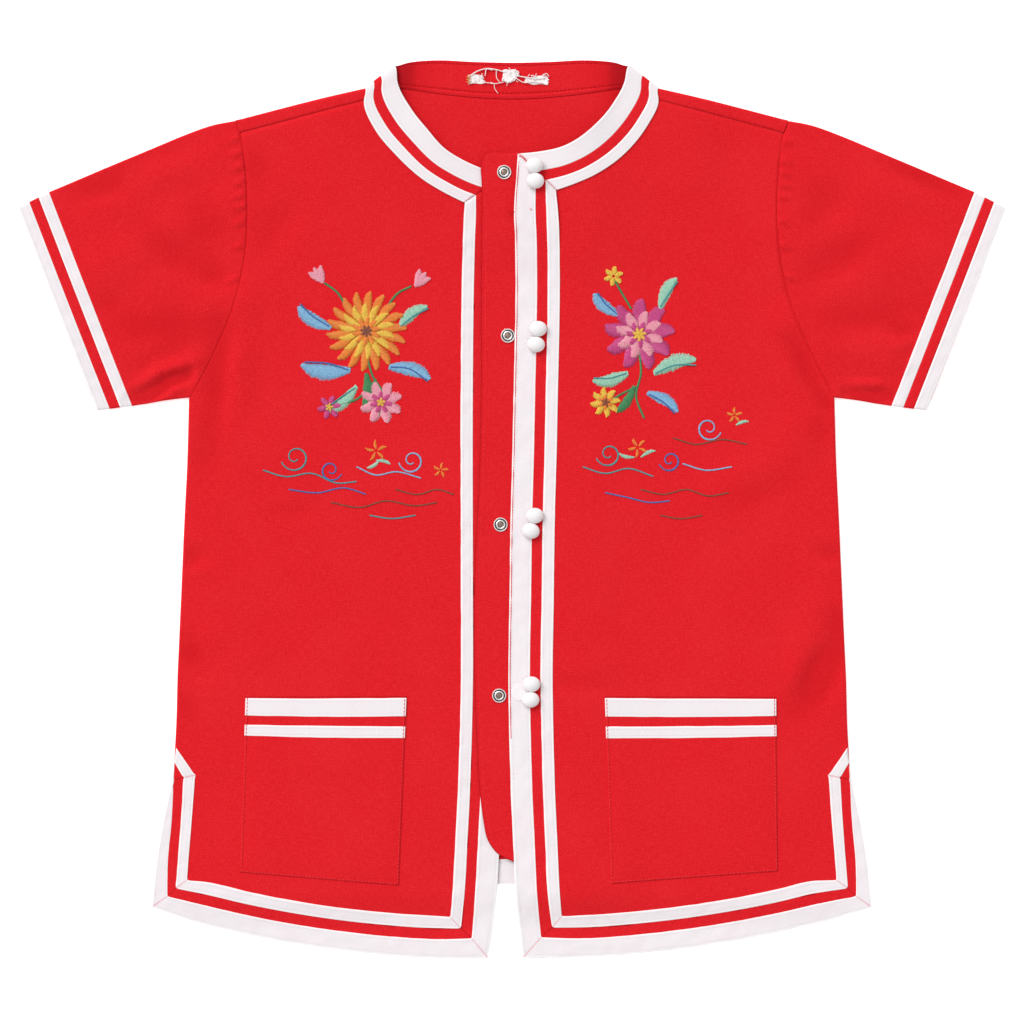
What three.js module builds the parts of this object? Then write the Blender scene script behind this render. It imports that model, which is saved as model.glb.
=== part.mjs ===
// A child's short-sleeved Tang jacket laid flat on its back, front up, in millimetres.
// +X runs to the wearer's left, +Y to the collar and +Z up off the surface that it lies on.
// Every piece of cloth is a wall of even thickness: its middle surface is a grid of sections, thickened
// both ways along its normals. The layers lie on each other a seam gap apart.
import * as THREE from "three";

// ---- Driving dimensions -------------------------------------------------------------------------

const CLOTH = 1.0; // wall of one layer of cloth
const SEAM = 0.3; // gap between pieces that are sewn together, and between layers
const LAYER = CLOTH + SEAM; // rise from the middle of one layer to the middle of the next
const FLOOR = CLOTH / 2; // middle of a layer that rests on the surface

const BAND = 12; // white band along the finished edges
const STRIP = 6.5; // red strip inside it
const TAPE = 7; // white tape inside that
const TRIM = BAND + STRIP + TAPE;
const UNDER_TAPE = BAND + STRIP + SEAM; // where a front's own cloth begins
const STAND = 22; // height of the collar's stand
const CUFF_BAND = 7.6; // the cuffs' outer band
const BACK_BAND = 15.5; // hem band of the back

const LOFT = 1.6; // air between back and fronts, half-way out to the side
const SLEEVE_LOFT = 1.2;
const NECK_LIFT = 1.2; // the fronts stand up to the collar's sides
const COLLAR_RISE = 1.5; // the stiff collar's free edge stands up from the fronts
const SIDE = 207; // middle of the body to its side seam
const FOLD_TURN = 1.25; // how far from a sleeve's folded edges its two layers part

// Hems: the lowest line, and how far it has risen at `reach` beyond the flat middle.
const HEM = {
  left: { low: -278.8, rise: 25.6, flat: 10, reach: 193 },
  right: { low: -279.0, rise: 27.5, flat: 20, reach: 193 },
};
const BACK_HEM = { low: -233, rise: 6, flat: 0, reach: 212 };

// Where band, strip and tape end, in from the finished edge: down the middle, along the hems.
const CENTRE_WIDTHS = [13.3, 19.8, 27.2];
const HEM_WIDTHS = [11.4, 18.3, 26.0];
const BACK_WIDTHS = [BACK_BAND, BACK_BAND + STRIP, BACK_BAND + STRIP + TAPE];

const RED = { color: 0xe02028, roughness: 0.9, metalness: 0 };
const WHITE = { color: 0xf4eff2, roughness: 0.85, metalness: 0 };
const STEEL = { color: 0xb9b6ab, roughness: 0.35, metalness: 0.9 };

// ---- Sections of the garment. Rows with no side are the wearer's left half: the right mirrors X --------

// Front edges down the middle: height, and where the edge of each front lies.
const CENTRE = [
  { y: -236, left: 2.3, right: -9.3 },
  { y: -205, left: 0.9, right: -7.6 },
  { y: -180, left: -0.3, right: -6.3 },
  { y: -150, left: -1.2, right: -5.2 },
  { y: -128, left: -1.7, right: -4.6 },
  { y: -105, left: -2.0, right: -4.2 },
  { y: -56, left: -1.3, right: -4.2 },
  { y: -10, left: -0.7, right: -4.3 },
  { y: 35, left: 0.5, right: -4.4 },
  { y: 75, left: 1.3, right: -4.3 },
  { y: 105, left: 2.0, right: -4.1 },
  { y: 130, left: 2.4, right: -3.8 },
  { y: 150, left: 2.4, right: -3.4 },
  { y: 168, left: 2.4, right: -2.9 },
  { y: 180, left: 2.4, right: -2.4 },
];

// Slit: finished edge and the seams of band, strip and tape, from its chevron's top to the hem's corner.
const SLIT = [
  { edge: [209.5, -160.0], band: [209.4, -159.0], strip: [209.2, -157.0], tape: [208.1, -148.3] },
  { edge: [210.4, -170.0], band: [209.9, -168.2], strip: [203.6, -166.5], tape: [196.4, -165.2] },
  { edge: [215.6, -192.8], band: [211.0, -192.6], strip: [205.1, -192.4], tape: [198.4, -192.0] },
  { edge: [219.9, -217.6], band: [213.2, -217.2], strip: [206.9, -216.6], tape: [200.4, -215.8] },
  { edge: [223.1, -246.8], band: [213.6, -240.3], strip: [208.4, -235.2], tape: [201.4, -230.3] },
];
const HEM_X = [192, 170, 146, 122, 98, 74, 50];
const HEM_CORNER = {
  left: { edge: [6.9, -278.6], band: [18.2, -265.9], strip: [24.9, -259.8], tape: [30.8, -252.7] },
  right: { edge: [-14.7, -278.6], band: [-24.8, -266.5], strip: [-31.4, -260.4], tape: [-37.9, -253.3] },
};
const BACK_SLIT = [
  { edge: [209.2, -160.0], band: [209.1, -159.0], strip: [208.9, -157.0], tape: [208.1, -148.3] },
  { edge: [209.6, -178.0], band: [198.0, -173.4], strip: [191.5, -171.0], tape: [184.8, -168.5] },
  { edge: [212.0, -226.5], band: [200.0, -211.2], strip: [193.5, -204.6], tape: [186.5, -197.5] },
];
const BACK_HEM_X = [164, 139, 113, 86, 58, 29, 0];

// Side seam and armhole of back and fronts, upwards from the slit to the forward shoulder seam.
const SIDE_SEAM = [
  { x: 208.0, y: -134 },
  { x: 207.2, y: -105 },
  { x: 205.0, y: -56 },
  { x: 203.0, y: -10 },
  { x: 201.0, y: 32 },
  { x: 200.0, y: 68.5 },
];
const ARMHOLE = [
  { x: 186.8, y: 93.6 },
  { x: 172.9, y: 126.2 },
  { x: 166.0, y: 156.4 },
  { x: 164.3, y: 186.0 },
  { x: 165.6, y: 212.0 },
  { x: 168.6, y: 233.0 },
];
// Shoulder, inwards from the armhole: the fold along its top and the back's seam to the front.
const SHOULDER = [
  { foldX: 170.5, foldY: 240.9, seamX: 168.6, seamY: 233.0 },
  { foldX: 144.0, foldY: 247.8, seamX: 141.7, seamY: 240.0 },
  { foldX: 117.0, foldY: 254.5, seamX: 114.8, seamY: 247.0 },
  { foldX: 89.3, foldY: 260.6, seamX: 89.2, seamY: 253.4 },
];

// Neck, from the front edge to the side: the collar's free edge and the neck tape's outer edge.
const NECK = {
  left: [
    { topX: 3.9, topY: 219.5, baseX: 27.1, baseY: 197.0 },
    { topX: 16.0, topY: 220.6, baseX: 31.5, baseY: 198.5 },
    { topX: 29.0, topY: 223.1, baseX: 37.5, baseY: 200.6 },
    { topX: 39.4, topY: 227.7, baseX: 52.0, baseY: 207.0 },
    { topX: 52.4, topY: 238.0, baseX: 69.5, baseY: 219.6 },
    { topX: 62.9, topY: 250.7, baseX: 84.4, baseY: 238.2 },
    { topX: 70.0, topY: 264.4, baseX: 90.7, baseY: 252.3 },
  ],
  right: [
    { topX: -4.0, topY: 206.5, baseX: -28.9, baseY: 189.8 },
    { topX: -16.5, topY: 210.2, baseX: -31.5, baseY: 191.0 },
    { topX: -30.6, topY: 216.2, baseX: -42.5, baseY: 196.5 },
    { topX: -41.1, topY: 222.6, baseX: -54.8, baseY: 204.0 },
    { topX: -52.5, topY: 235.0, baseX: -72.2, baseY: 219.8 },
    { topX: -62.3, topY: 247.4, baseX: -84.3, baseY: 234.5 },
    { topX: -70.9, topY: 264.4, baseX: -91.3, baseY: 252.0 },
  ],
};
// Fold at the collar's side, and the back of the collar to its middle: free edge and neck seam.
const NECK_FOLD = { topX: 72.0, topY: 274.4, baseX: 90.0, baseY: 260.6 };
const BACK_NECK = [
  { topX: 63.0, topY: 276.9, baseX: 69.0, baseY: 261.0 },
  { topX: 46.0, topY: 278.2, baseX: 47.0, baseY: 258.0 },
  { topX: 23.0, topY: 277.2, baseX: 23.0, baseY: 255.4 },
  { topX: 0.0, topY: 276.7, baseX: 0.0, baseY: 254.4 },
];

// Sleeve from the armhole out to the cuff's trims: its top fold and its underarm fold.
const SLEEVE = [
  { topX: 171.4, topY: 240.5, underX: 200.4, underY: 69.1 },
  { topX: 188.0, topY: 237.1, underX: 206.0, underY: 68.7 },
  { topX: 205.0, topY: 230.9, underX: 211.5, underY: 68.0 },
  { topX: 222.0, topY: 223.8, underX: 216.5, underY: 67.3 },
  { topX: 239.0, topY: 216.7, underX: 221.5, underY: 66.4 },
  { topX: 255.0, topY: 210.0, underX: 226.5, underY: 65.5 },
  { topX: 271.0, topY: 203.2, underX: 231.3, underY: 64.8 },
];
// Ends of the cuff's edge, and how far they move in for each millimetre of the cuff's depth.
const CUFF = { topX: 306.0, topY: 186.8, underX: 257.2, underY: 61.3 };
const CUFF_IN = { topX: -0.896, topY: 0.457, underX: -1.018, underY: 0.131 };

// Main soft folds: a ridge from one end to the other, its half width and its height.
const FOLDS = [
  { x1: 172, y1: 118, x2: 232, y2: 94, width: 13, height: 1.4 },
  { x1: 176, y1: 178, x2: 258, y2: 158, width: 15, height: 1.1 },
  { x1: 170, y1: 215, x2: 236, y2: 190, width: 12, height: 0.8 },
  { x1: 190, y1: 50, x2: 128, y2: 6, width: 15, height: 1.0 },
  { x1: 192, y1: -60, x2: 170, y2: -100, width: 12, height: 0.7 },
  { x1: -170, y1: 126, x2: -234, y2: 104, width: 14, height: 1.3 },
  { x1: -172, y1: 190, x2: -254, y2: 150, width: 14, height: 1.2 },
  { x1: -170, y1: 222, x2: -230, y2: 204, width: 11, height: 0.7 },
  { x1: -188, y1: 56, x2: -134, y2: 24, width: 14, height: 1.1 },
  { x1: -190, y1: -40, x2: -158, y2: -88, width: 13, height: 0.7 },
];

// Underlap that holds the snaps, sewn under the left front: its free edge, from top to bottom.
const UNDERLAP = [
  { y: 220.3, free: -18.1 },
  { y: 200.0, free: -18.4 },
  { y: 184.0, free: -18.4 },
  { y: 168.0, free: -18.5 },
  { y: 150.0, free: -18.6 },
  { y: 130.0, free: -18.7 },
  { y: 70.0, free: -18.8 },
  { y: 18.0, free: -20.0 },
  { y: -32.0, free: -22.5 },
  { y: -104.0, free: -22.8 },
  { y: -140.0, free: -21.5 },
  { y: -177.0, free: -19.4 },
  { y: -193.0, free: -17.4 },
  { y: -205.0, free: -14.7 },
  { y: -213.0, free: -9.0 },
  { y: -218.3, free: 1.0 },
];
const UNDERLAP_SEWN = 13.5; // its other edge, under the band

// Pockets: the corners of each patch.
const POCKETS = {
  left: { inTop: [57.6, -116.3], outTop: [163.7, -116.9], inLow: [61.4, -232.0], outLow: [164.8, -224.4] },
  right: { inTop: [-65.2, -116.3], outTop: [-164.8, -116.6], inLow: [-70.0, -233.2], outLow: [-168.3, -225.1] },
};

const POCKET_INSET = 0.012; // the trims stop short of the patch's sides by this share of its width

// Snaps on the underlap; covered buttons in pairs on the left front, and a flat one under the last pair.
const SNAP_RADIUS = 4.45;
const SNAPS = [
  { x: -4.7, y: 208.4 },
  { x: -2.4, y: 107.3 },
  { x: -6.9, y: -9.7 },
  { x: -7.8, y: -115.6 },
];
const BUTTON_WIDE = 5.5; // half the width
const BUTTON_HIGH = 4.6; // half the height
const SHANK = 1.6;
const BUTTONS = [
  { x: 14.0, y: 212.0 },
  { x: 14.5, y: 202.4 },
  { x: 16.3, y: 111.3 },
  { x: 15.0, y: 101.6 },
  { x: 14.2, y: -4.2 },
  { x: 11.8, y: -13.6 },
  { x: 12.2, y: -108.3 },
  { x: 11.6, y: -117.9 },
];
const FLAT_BUTTON = { x: 5.0, y: -113.5, radius: 5.3, thick: 1.0 };

// What is left of a label inside the back of the collar: two torn ends and a frayed piece of its middle.
const LABEL = [
  { name: "label_end_right", x: -21.5, y: 266.7, wide: 11.6, high: 6.0 },
  { name: "label_middle", x: -1.1, y: 268.6, wide: 8.6, high: 8.4 },
  { name: "label_end_left", x: 13.2, y: 265.8, wide: 18.4, high: 5.6 },
];

// ---- Helpers --------------------------------------------------------------------------------------

const mix = THREE.MathUtils.lerp;
const ease = (low, high, value) => THREE.MathUtils.smoothstep(value, low, high);
const vec = (x, y, z = 0) => new THREE.Vector3(x, y, z);
const raised = (p, z) => vec(p.x, p.y, z);
const signOf = (side) => (side === "left" ? 1 : -1);
const between = (a, b, share) => a.clone().lerp(b, share);
const mirrorRow = (points) => points.map((p) => vec(-p.x, p.y, p.z)).reverse();

const root = new THREE.Group();
root.name = "tang_shirt";

function add(name, geometry, finish) {
  const mesh = new THREE.Mesh(geometry, new THREE.MeshStandardMaterial(finish));
  mesh.name = name;
  root.add(mesh);
  return mesh;
}

function solid(points, faces) {
  const triple = ([a, b, c]) => points[a].dot(points[b].clone().cross(points[c]));
  const outward = faces.reduce((sum, face) => sum + triple(face), 0) > 0;
  const geometry = new THREE.BufferGeometry().setFromPoints(points);
  geometry.setIndex(faces.flatMap(([a, b, c]) => (outward ? [a, b, c] : [a, c, b])));
  geometry.computeVertexNormals();
  return geometry;
}

// A wall of cloth: `rows` is a grid of points on its middle surface, `closed` joins the last column to the
// first, and `keep` says which cells of the grid are cloth.
function shell(rows, { closed = false, keep = () => true } = {}) {
  const wide = rows[0].length;
  const grid = rows.flat();
  const cells = [];
  for (let r = 0; r < rows.length - 1; r++) {
    for (let c = 0; c < (closed ? wide : wide - 1); c++) {
      const d = (c + 1) % wide;
      if (keep(r, c)) cells.push([r * wide + c, r * wide + d, (r + 1) * wide + d, (r + 1) * wide + c]);
    }
  }
  const normals = new Map();
  const rims = new Map();
  for (const cell of cells) {
    const [a, b, c, d] = cell.map((i) => grid[i]);
    const normal = c.clone().sub(a).cross(d.clone().sub(b)).normalize();
    cell.forEach((i, k) => {
      const next = cell[(k + 1) % 4];
      normals.set(i, (normals.get(i) ?? vec(0, 0)).add(normal));
      if (!rims.delete(next + "_" + i)) rims.set(i + "_" + next, [i, next]);
    });
  }
  const used = [...normals.keys()];
  const place = new Map(used.map((i, k) => [i, k]));
  const half = (i, way) => grid[i].clone().addScaledVector(normals.get(i).normalize(), (way * CLOTH) / 2);
  const points = [...used.map((i) => half(i, 1)), ...used.map((i) => half(i, -1))];
  const faces = [];
  const n = used.length;
  for (const cell of cells) {
    const [a, b, c, d] = cell.map((i) => place.get(i));
    faces.push([a, b, c], [a, c, d], [a + n, c + n, b + n], [a + n, d + n, c + n]);
  }
  for (const [from, to] of rims.values()) {
    const [a, b] = [place.get(from), place.get(to)];
    faces.push([a, a + n, b + n], [a, b + n, b]);
  }
  return solid(points, faces);
}

function shares(line) {
  const run = [0];
  for (let i = 1; i < line.length; i++) run.push(run[i - 1] + line[i].distanceTo(line[i - 1]));
  return run.map((length) => length / run[run.length - 1]);
}

// A piece laid out between four edges, each a list of points: a Coons patch.
function plan(bottom, top, start, end) {
  const [us, vs, last] = [shares(bottom), shares(start), bottom.length - 1];
  return vs.map((v, r) =>
    us.map((u, c) => {
      const sides = between(start[r], end[r], u);
      const ends = between(bottom[c], top[c], v);
      return sides.add(ends).sub(between(between(bottom[0], bottom[last], u), between(top[0], top[last], u), v));
    }),
  );
}

// ---- Lie of the cloth -------------------------------------------------------------------------------

function folds(x, y) {
  let height = 0;
  for (const fold of FOLDS) {
    const run = vec(fold.x2 - fold.x1, fold.y2 - fold.y1);
    const from = vec(x - fold.x1, y - fold.y1);
    const share = THREE.MathUtils.clamp(from.dot(run) / run.lengthSq(), 0, 1);
    const away = from.addScaledVector(run, -share).length() / fold.width;
    height += fold.height * Math.exp(-away * away);
  }
  return height;
}

// Middle of a front's cloth: above the back, with air between them. The left front also lies over the
// underlap, which lies over the right front's edge.
function frontLevel(side, x, y) {
  const out = Math.abs(x);
  const settled = ease(-262, -237, y);
  const loft = (LOFT * Math.max(0, 4 * out * (SIDE - out))) / SIDE ** 2;
  const nearNeck = 1 - ease(95, 150, Math.hypot(x, y - 262));
  const neck = NECK_LIFT * (x / 90) ** 2 * nearNeck;
  const over = side === "left" ? ease(-262, -236, y) * (2 + ease(138, 164, y)) : 0;
  const lap = LAYER * over * (0.5 + 0.5 * Math.cos(Math.PI * ease(16, 110, out)));
  return FLOOR + settled * (LAYER + loft + neck) + lap + folds(x, y);
}
const underlapLevel = (x, y) => frontLevel("right", x, y) + LAYER * (1 + ease(144, 170, y));
// Near the collar the front edges' trims climb a layer on to the stand.
const trimStep = (side, y) => LAYER * (side === "left" ? ease(158, 180, y) : ease(148, 168, y));
const trimLevel = (side, x, y) => frontLevel(side, x, y) + trimStep(side, y);
const collarRise = (x, depth) => {
  const along = ease(20, 50, Math.abs(x)) * (1 - ease(54, 68, Math.abs(x)));
  return COLLAR_RISE * along * Math.max(0, 1 - depth / STAND) ** 2;
};

// ---- Rulings: lines across the trims, from the finished edge inwards ---------------------------------

// A ruling through the trims' own seams, with the width of the outer band.
function seamed([edge, band, strip, tape], wide = BAND) {
  return (width) => {
    if (width <= wide) return between(edge, band, width / wide);
    if (width <= wide + STRIP) return between(band, strip, (width - wide) / STRIP);
    return between(strip, tape, (width - wide - STRIP) / TAPE);
  };
}
const corners = ({ edge, band, strip, tape }, sign) => [edge, band, strip, tape].map(([x, y]) => vec(x * sign, y));
const inwards = (edge, along, widths) => [0, ...widths].map((width) => edge.clone().addScaledVector(along, width));
const ruled = (from, to, length = TRIM) => (width) => between(from, to, width / length);
const neckRuling = (row) => ruled(vec(row.topX, row.topY), vec(row.baseX, row.baseY));

function hemRulings(xs, sign, { low, rise, flat, reach }, widths, wide) {
  return xs.map((x) => {
    const out = Math.max(0, x - flat);
    const slope = (2 * rise * out) / reach ** 2;
    const edge = vec(x * sign, low + rise * (out / reach) ** 2);
    return seamed(inwards(edge, vec(-slope * sign, 1).normalize(), widths), wide);
  });
}

function frontRulings(side) {
  const sign = signOf(side);
  return {
    slit: SLIT.map((row) => seamed(corners(row, sign))),
    hem: hemRulings(HEM_X, sign, HEM[side], HEM_WIDTHS),
    corner: seamed(corners(HEM_CORNER[side], 1)),
    centre: CENTRE.map((row) => seamed(inwards(vec(row[side], row.y), vec(sign, 0), CENTRE_WIDTHS))),
    neck: neckRuling(NECK[side][0]),
  };
}

// ---- Fronts ---------------------------------------------------------------------------------------------

function addFront(side) {
  const sign = signOf(side);
  const { slit, hem, corner, centre, neck } = frontRulings(side);
  const neckline = NECK[side].slice(2).map((row) => neckRuling(row)(STAND + SEAM));
  const low = NECK[side][0].topY - STAND - SEAM;
  const inner = [corner, ...centre].map((at) => at(UNDER_TAPE));
  const top = vec(inner[inner.length - 1].x, low);
  const outer = [...SIDE_SEAM, ...ARMHOLE].map((p) => vec(p.x * sign, p.y));
  const rows = plan(
    [slit[4], ...hem, corner].map((at) => at(UNDER_TAPE)),
    [...SHOULDER.slice(0, 3).map((p) => vec(p.seamX * sign, p.seamY)), ...neckline.reverse(), top],
    [...slit.map((at) => at(UNDER_TAPE)).reverse(), ...outer],
    [...inner, top],
  );
  add(side + "_front", shell(rows.map((row) => row.map((p) => raised(p, frontLevel(side, p.x, p.y))))), RED);

  const edging = [...slit, ...hem, corner, ...centre, neck];
  const lay = (from, to, level) =>
    shell([from, to].map((width) => edging.map((at) => raised(at(width), level(side, at(width).x, at(width).y)))));
  const tapeLevel = (of, x, y) => frontLevel(of, x, y) + LAYER;
  add(side + "_front_band", lay(0, BAND, trimLevel), WHITE);
  add(side + "_front_strip", lay(BAND + SEAM, BAND + STRIP, trimLevel), RED);
  add(side + "_front_tape", lay(BAND + STRIP + SEAM, TRIM, tapeLevel), WHITE);
}

// ---- Back -------------------------------------------------------------------------------------------------

function addBack() {
  const length = BACK_WIDTHS[2];
  const half = (sign) => [
    ...BACK_SLIT.map((row) => seamed(corners(row, sign), BACK_BAND)),
    ...hemRulings(BACK_HEM_X, sign, BACK_HEM, BACK_WIDTHS, BACK_BAND),
  ];
  const edging = [...half(-1), ...half(1).reverse().slice(1)];
  const flat = (from, to) => shell([from, to].map((width) => edging.map((at) => raised(at(width), FLOOR))));
  add("back_band", flat(0, BACK_BAND), WHITE);
  add("back_strip", flat(BACK_BAND + SEAM, BACK_BAND + STRIP), RED);
  add("back_tape", flat(BACK_BAND + STRIP + SEAM, length), WHITE);

  const edge = edging.map((at) => at(length + SEAM));
  const neck = BACK_NECK.map((row) => vec(row.baseX, row.baseY - SEAM, FLOOR + LAYER));
  const top = [
    ...SHOULDER.map((p) => shoulderPoint(p, -1, 0)),
    ...neck.map((p) => vec(-p.x, p.y, p.z)),
    ...neck.slice(0, 3).reverse(),
    ...SHOULDER.map((p) => shoulderPoint(p, 1, 0)).reverse(),
  ];
  const last = top[top.length - 1];
  const under = ARMHOLE[ARMHOLE.length - 1];
  const right = [
    ...edge.slice(-3),
    ...[...SIDE_SEAM, ...ARMHOLE].map((p) => vec(p.x, p.y)),
    vec(mix(under.x, last.x, 0.52), mix(under.y, last.y, 0.52)),
    raised(last, 0),
  ];
  const rows = plan(
    edge.slice(2, -2),
    top.map((p) => raised(p, 0)),
    right.map((p) => vec(-p.x, p.y)),
    right,
  );
  const level = (r, c) => (r < rows.length - 2 ? FLOOR : top[c].z);
  add("back", shell(rows.map((row, r) => row.map((p, c) => raised(p, level(r, c))))), RED);

  // The back's cloth goes on over the shoulders to the forward seams. Each of these two ends is a solid of
  // its own, so that no hull of the back closes the neck.
  for (const side of ["left", "right"]) {
    const turned = [0, 1, 2, 3].map((stage) => SHOULDER.map((p) => shoulderPoint(p, signOf(side), stage)));
    turned[0].forEach((p, i) => p.add(turned[1][i].clone().sub(p).setLength(SEAM + 0.65 * CLOTH)));
    add(side + "_shoulder", shell(turned), RED);
  }
}

// Section of the back's cloth over the shoulder: before the fold, at it, past it, and at the forward seam.
function shoulderPoint(p, sign, stage) {
  const level = (x, y) => frontLevel(sign > 0 ? "left" : "right", x * sign, y);
  if (stage === 3) return vec(p.seamX * sign, p.seamY + SEAM, level(p.seamX, p.seamY + SEAM));
  const low = FLOOR + LAYER * (1 - ease(88.7, 112, p.foldX));
  const radius = (level(p.foldX, p.foldY) - low) / 2;
  return vec(p.foldX * sign, p.foldY - (stage === 1 ? 0 : radius), low + stage * radius);
}

// ---- Collar -------------------------------------------------------------------------------------------------

// Rulings round the collar from the left front's end over the back to the right front's end. `out` is how
// many layers outside the stand the cloth lies: up on the fronts, outwards at the folds, down at the back.
function collarRulings(out) {
  const front = (side) =>
    NECK[side].map((row, i) => {
      const square = out === 0 && i === 0;
      const at = square ? (depth) => vec(row.topX, row.topY - depth) : neckRuling(row);
      return (depth) => {
        const p = at(depth);
        return raised(p, frontLevel(side, p.x, p.y) + collarRise(p.x, depth) + out * LAYER);
      };
    });
  const fold = (side) => {
    const sign = signOf(side);
    const [top, base] = [vec(NECK_FOLD.topX, NECK_FOLD.topY), vec(NECK_FOLD.baseX, NECK_FOLD.baseY)];
    const away = vec(top.y - base.y, base.x - top.x).normalize();
    return [1, 0, -1].map((way) => (depth) => {
      const p = between(top, base, depth / TRIM);
      const [low, high] = [FLOOR + LAYER, frontLevel(side, p.x * sign, p.y)];
      const radius = (high - low) / 2;
      p.addScaledVector(away, way === 0 ? out * LAYER : -radius);
      return vec(p.x * sign, p.y, (low + high) / 2 + way * (radius + out * LAYER));
    });
  };
  const back = (sign) =>
    BACK_NECK.map((row) => {
      const at = ruled(vec(row.topX * sign, row.topY), vec(row.baseX * sign, row.baseY), STAND);
      return (depth) => raised(at(depth), FLOOR + LAYER * (1 - out));
    });
  return [
    ...front("left"),
    ...fold("left"),
    ...back(1),
    ...back(-1).slice(0, 3).reverse(),
    ...fold("right").reverse(),
    ...front("right").reverse(),
  ];
}

function addCollar() {
  const stand = collarRulings(0);
  add("collar_stand", shell([0, 7, 14.5, STAND].map((depth) => stand.map((at) => at(depth)))), RED);
  const trims = collarRulings(1);
  const last = trims.length - 1;
  const line = (depth) => {
    const points = trims.map((at) => at(depth));
    const nudge = (from, to) => from.add(to.clone().sub(from).setLength(SEAM));
    nudge(points[0], points[1]);
    nudge(points[last], points[last - 1]);
    return points;
  };
  add("collar_band", shell([line(0), line(BAND)]), WHITE);
  add("collar_strip", shell([line(BAND + SEAM), line(BAND + STRIP)]), RED);
  add("neck_tape", shell([line(BAND + STRIP + SEAM), line(TRIM)]), WHITE);
}

// ---- Sleeves --------------------------------------------------------------------------------------------------

// Middle line across a sleeve from its underarm fold to its top fold, with a point where the layers part.
function acrossSleeve(under, top, inner) {
  const turn = (from, to) => from.clone().add(to.clone().sub(from).setLength(FOLD_TURN));
  return [under, turn(under, inner[0]), ...inner, turn(top, inner[inner.length - 1]), top];
}

function addSleeve(side) {
  const sign = signOf(side);
  const armhole = acrossSleeve(
    vec(SLEEVE[0].underX, SLEEVE[0].underY),
    vec(SLEEVE[0].topX, SLEEVE[0].topY),
    ARMHOLE.map((p) => vec(p.x + SEAM, p.y)),
  );
  const run = shares(armhole);
  const cuffLine = (depth) => {
    const under = vec(CUFF.underX + CUFF_IN.underX * depth, CUFF.underY + CUFF_IN.underY * depth);
    const top = vec(CUFF.topX + CUFF_IN.topX * depth, CUFF.topY + CUFF_IN.topY * depth);
    return acrossSleeve(under, top, run.slice(2, -2).map((share) => between(under, top, share)));
  };
  const ring = (line, open) => {
    const level = (p, u) => frontLevel(side, p.x * sign, p.y) + SLEEVE_LOFT * open * 4 * u * (1 - u);
    const lay = (p, z) => vec(p.x * sign, p.y, z);
    const inside = line.map((p, c) => ({ p, u: run[c] })).slice(1, -1);
    const [under, top] = [line[0], line[line.length - 1]];
    return [
      lay(under, (FLOOR + level(under, 0)) / 2),
      ...inside.map(({ p }) => lay(p, FLOOR)),
      lay(top, (FLOOR + level(top, 0)) / 2),
      ...inside.map(({ p, u }) => lay(p, level(p, u))).reverse(),
    ];
  };
  const depth = CUFF_BAND + STRIP + TAPE;
  const end = cuffLine(depth + SEAM);
  const rows = plan(
    armhole,
    end,
    [...SLEEVE.map((row) => vec(row.underX, row.underY)), end[0]],
    [...SLEEVE.map((row) => vec(row.topX, row.topY)), end[end.length - 1]],
  );
  const count = rows.length - 1;
  add(side + "_sleeve", shell(rows.map((row, r) => ring(row, ease(0, 0.6, r / count))), { closed: true }), RED);
  const cuff = (from, to) => shell([ring(cuffLine(to), 1), ring(cuffLine(from), 1)], { closed: true });
  add(side + "_cuff_tape", cuff(CUFF_BAND + STRIP + SEAM, depth), WHITE);
  add(side + "_cuff_strip", cuff(CUFF_BAND + SEAM, CUFF_BAND + STRIP), RED);
  add(side + "_cuff_band", cuff(0, CUFF_BAND), WHITE);
}

// ---- Underlap, pockets and label -----------------------------------------------------------------------------

function addUnderlap() {
  const rows = UNDERLAP.map(({ y, free }) =>
    [0, 0.5, 1].map((share) => mix(free, UNDERLAP_SEWN, share)).map((x) => vec(x, y, underlapLevel(x, y))),
  );
  add("underlap", shell(rows), RED);
}

function addPocket(side) {
  const { inTop, outTop, inLow, outLow } = POCKETS[side];
  const [a, b, c, d] = [inTop, outTop, inLow, outLow].map(([x, y]) => vec(x, y));
  const high = a.distanceTo(c);
  const lay = (depths, inset, layers) => {
    const across = [0, 0.2, 0.4, 0.6, 0.8, 1].map((share) => mix(inset, 1 - inset, share));
    const rows = depths.map((depth) =>
      across.map((share) => {
        const p = between(between(a, b, share), between(c, d, share), depth / high);
        return raised(p, frontLevel(side, p.x, p.y) + layers * LAYER);
      }),
    );
    return shell(rows);
  };
  const cloth = [0, 0.2, 0.4, 0.6, 0.8, 1].map((share) => share * high);
  add(side + "_pocket", lay(cloth, 0, 1), RED);
  add(side + "_pocket_band", lay([0, BAND], POCKET_INSET, 2), WHITE);
  add(side + "_pocket_tape", lay([BAND + STRIP, TRIM], POCKET_INSET, 2), WHITE);
}

function addLabel() {
  const z = FLOOR + 2 * LAYER;
  for (const { name, x, y, wide, high } of LABEL) {
    const row = (way) => [-wide / 2, wide / 2].map((out) => vec(x + out, y + (way * high) / 2, z));
    add(name, shell([row(-1), row(1)]), WHITE);
  }
}

// ---- Snaps and covered buttons ---------------------------------------------------------------------------------

function turned(profile, name, finish, x, y, z) {
  const geometry = new THREE.LatheGeometry(profile.map(([radius, height]) => new THREE.Vector2(radius, height)), 14);
  const mesh = add(name, geometry, finish);
  mesh.rotation.x = Math.PI / 2;
  mesh.position.set(x, y, z);
  return mesh;
}

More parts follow.
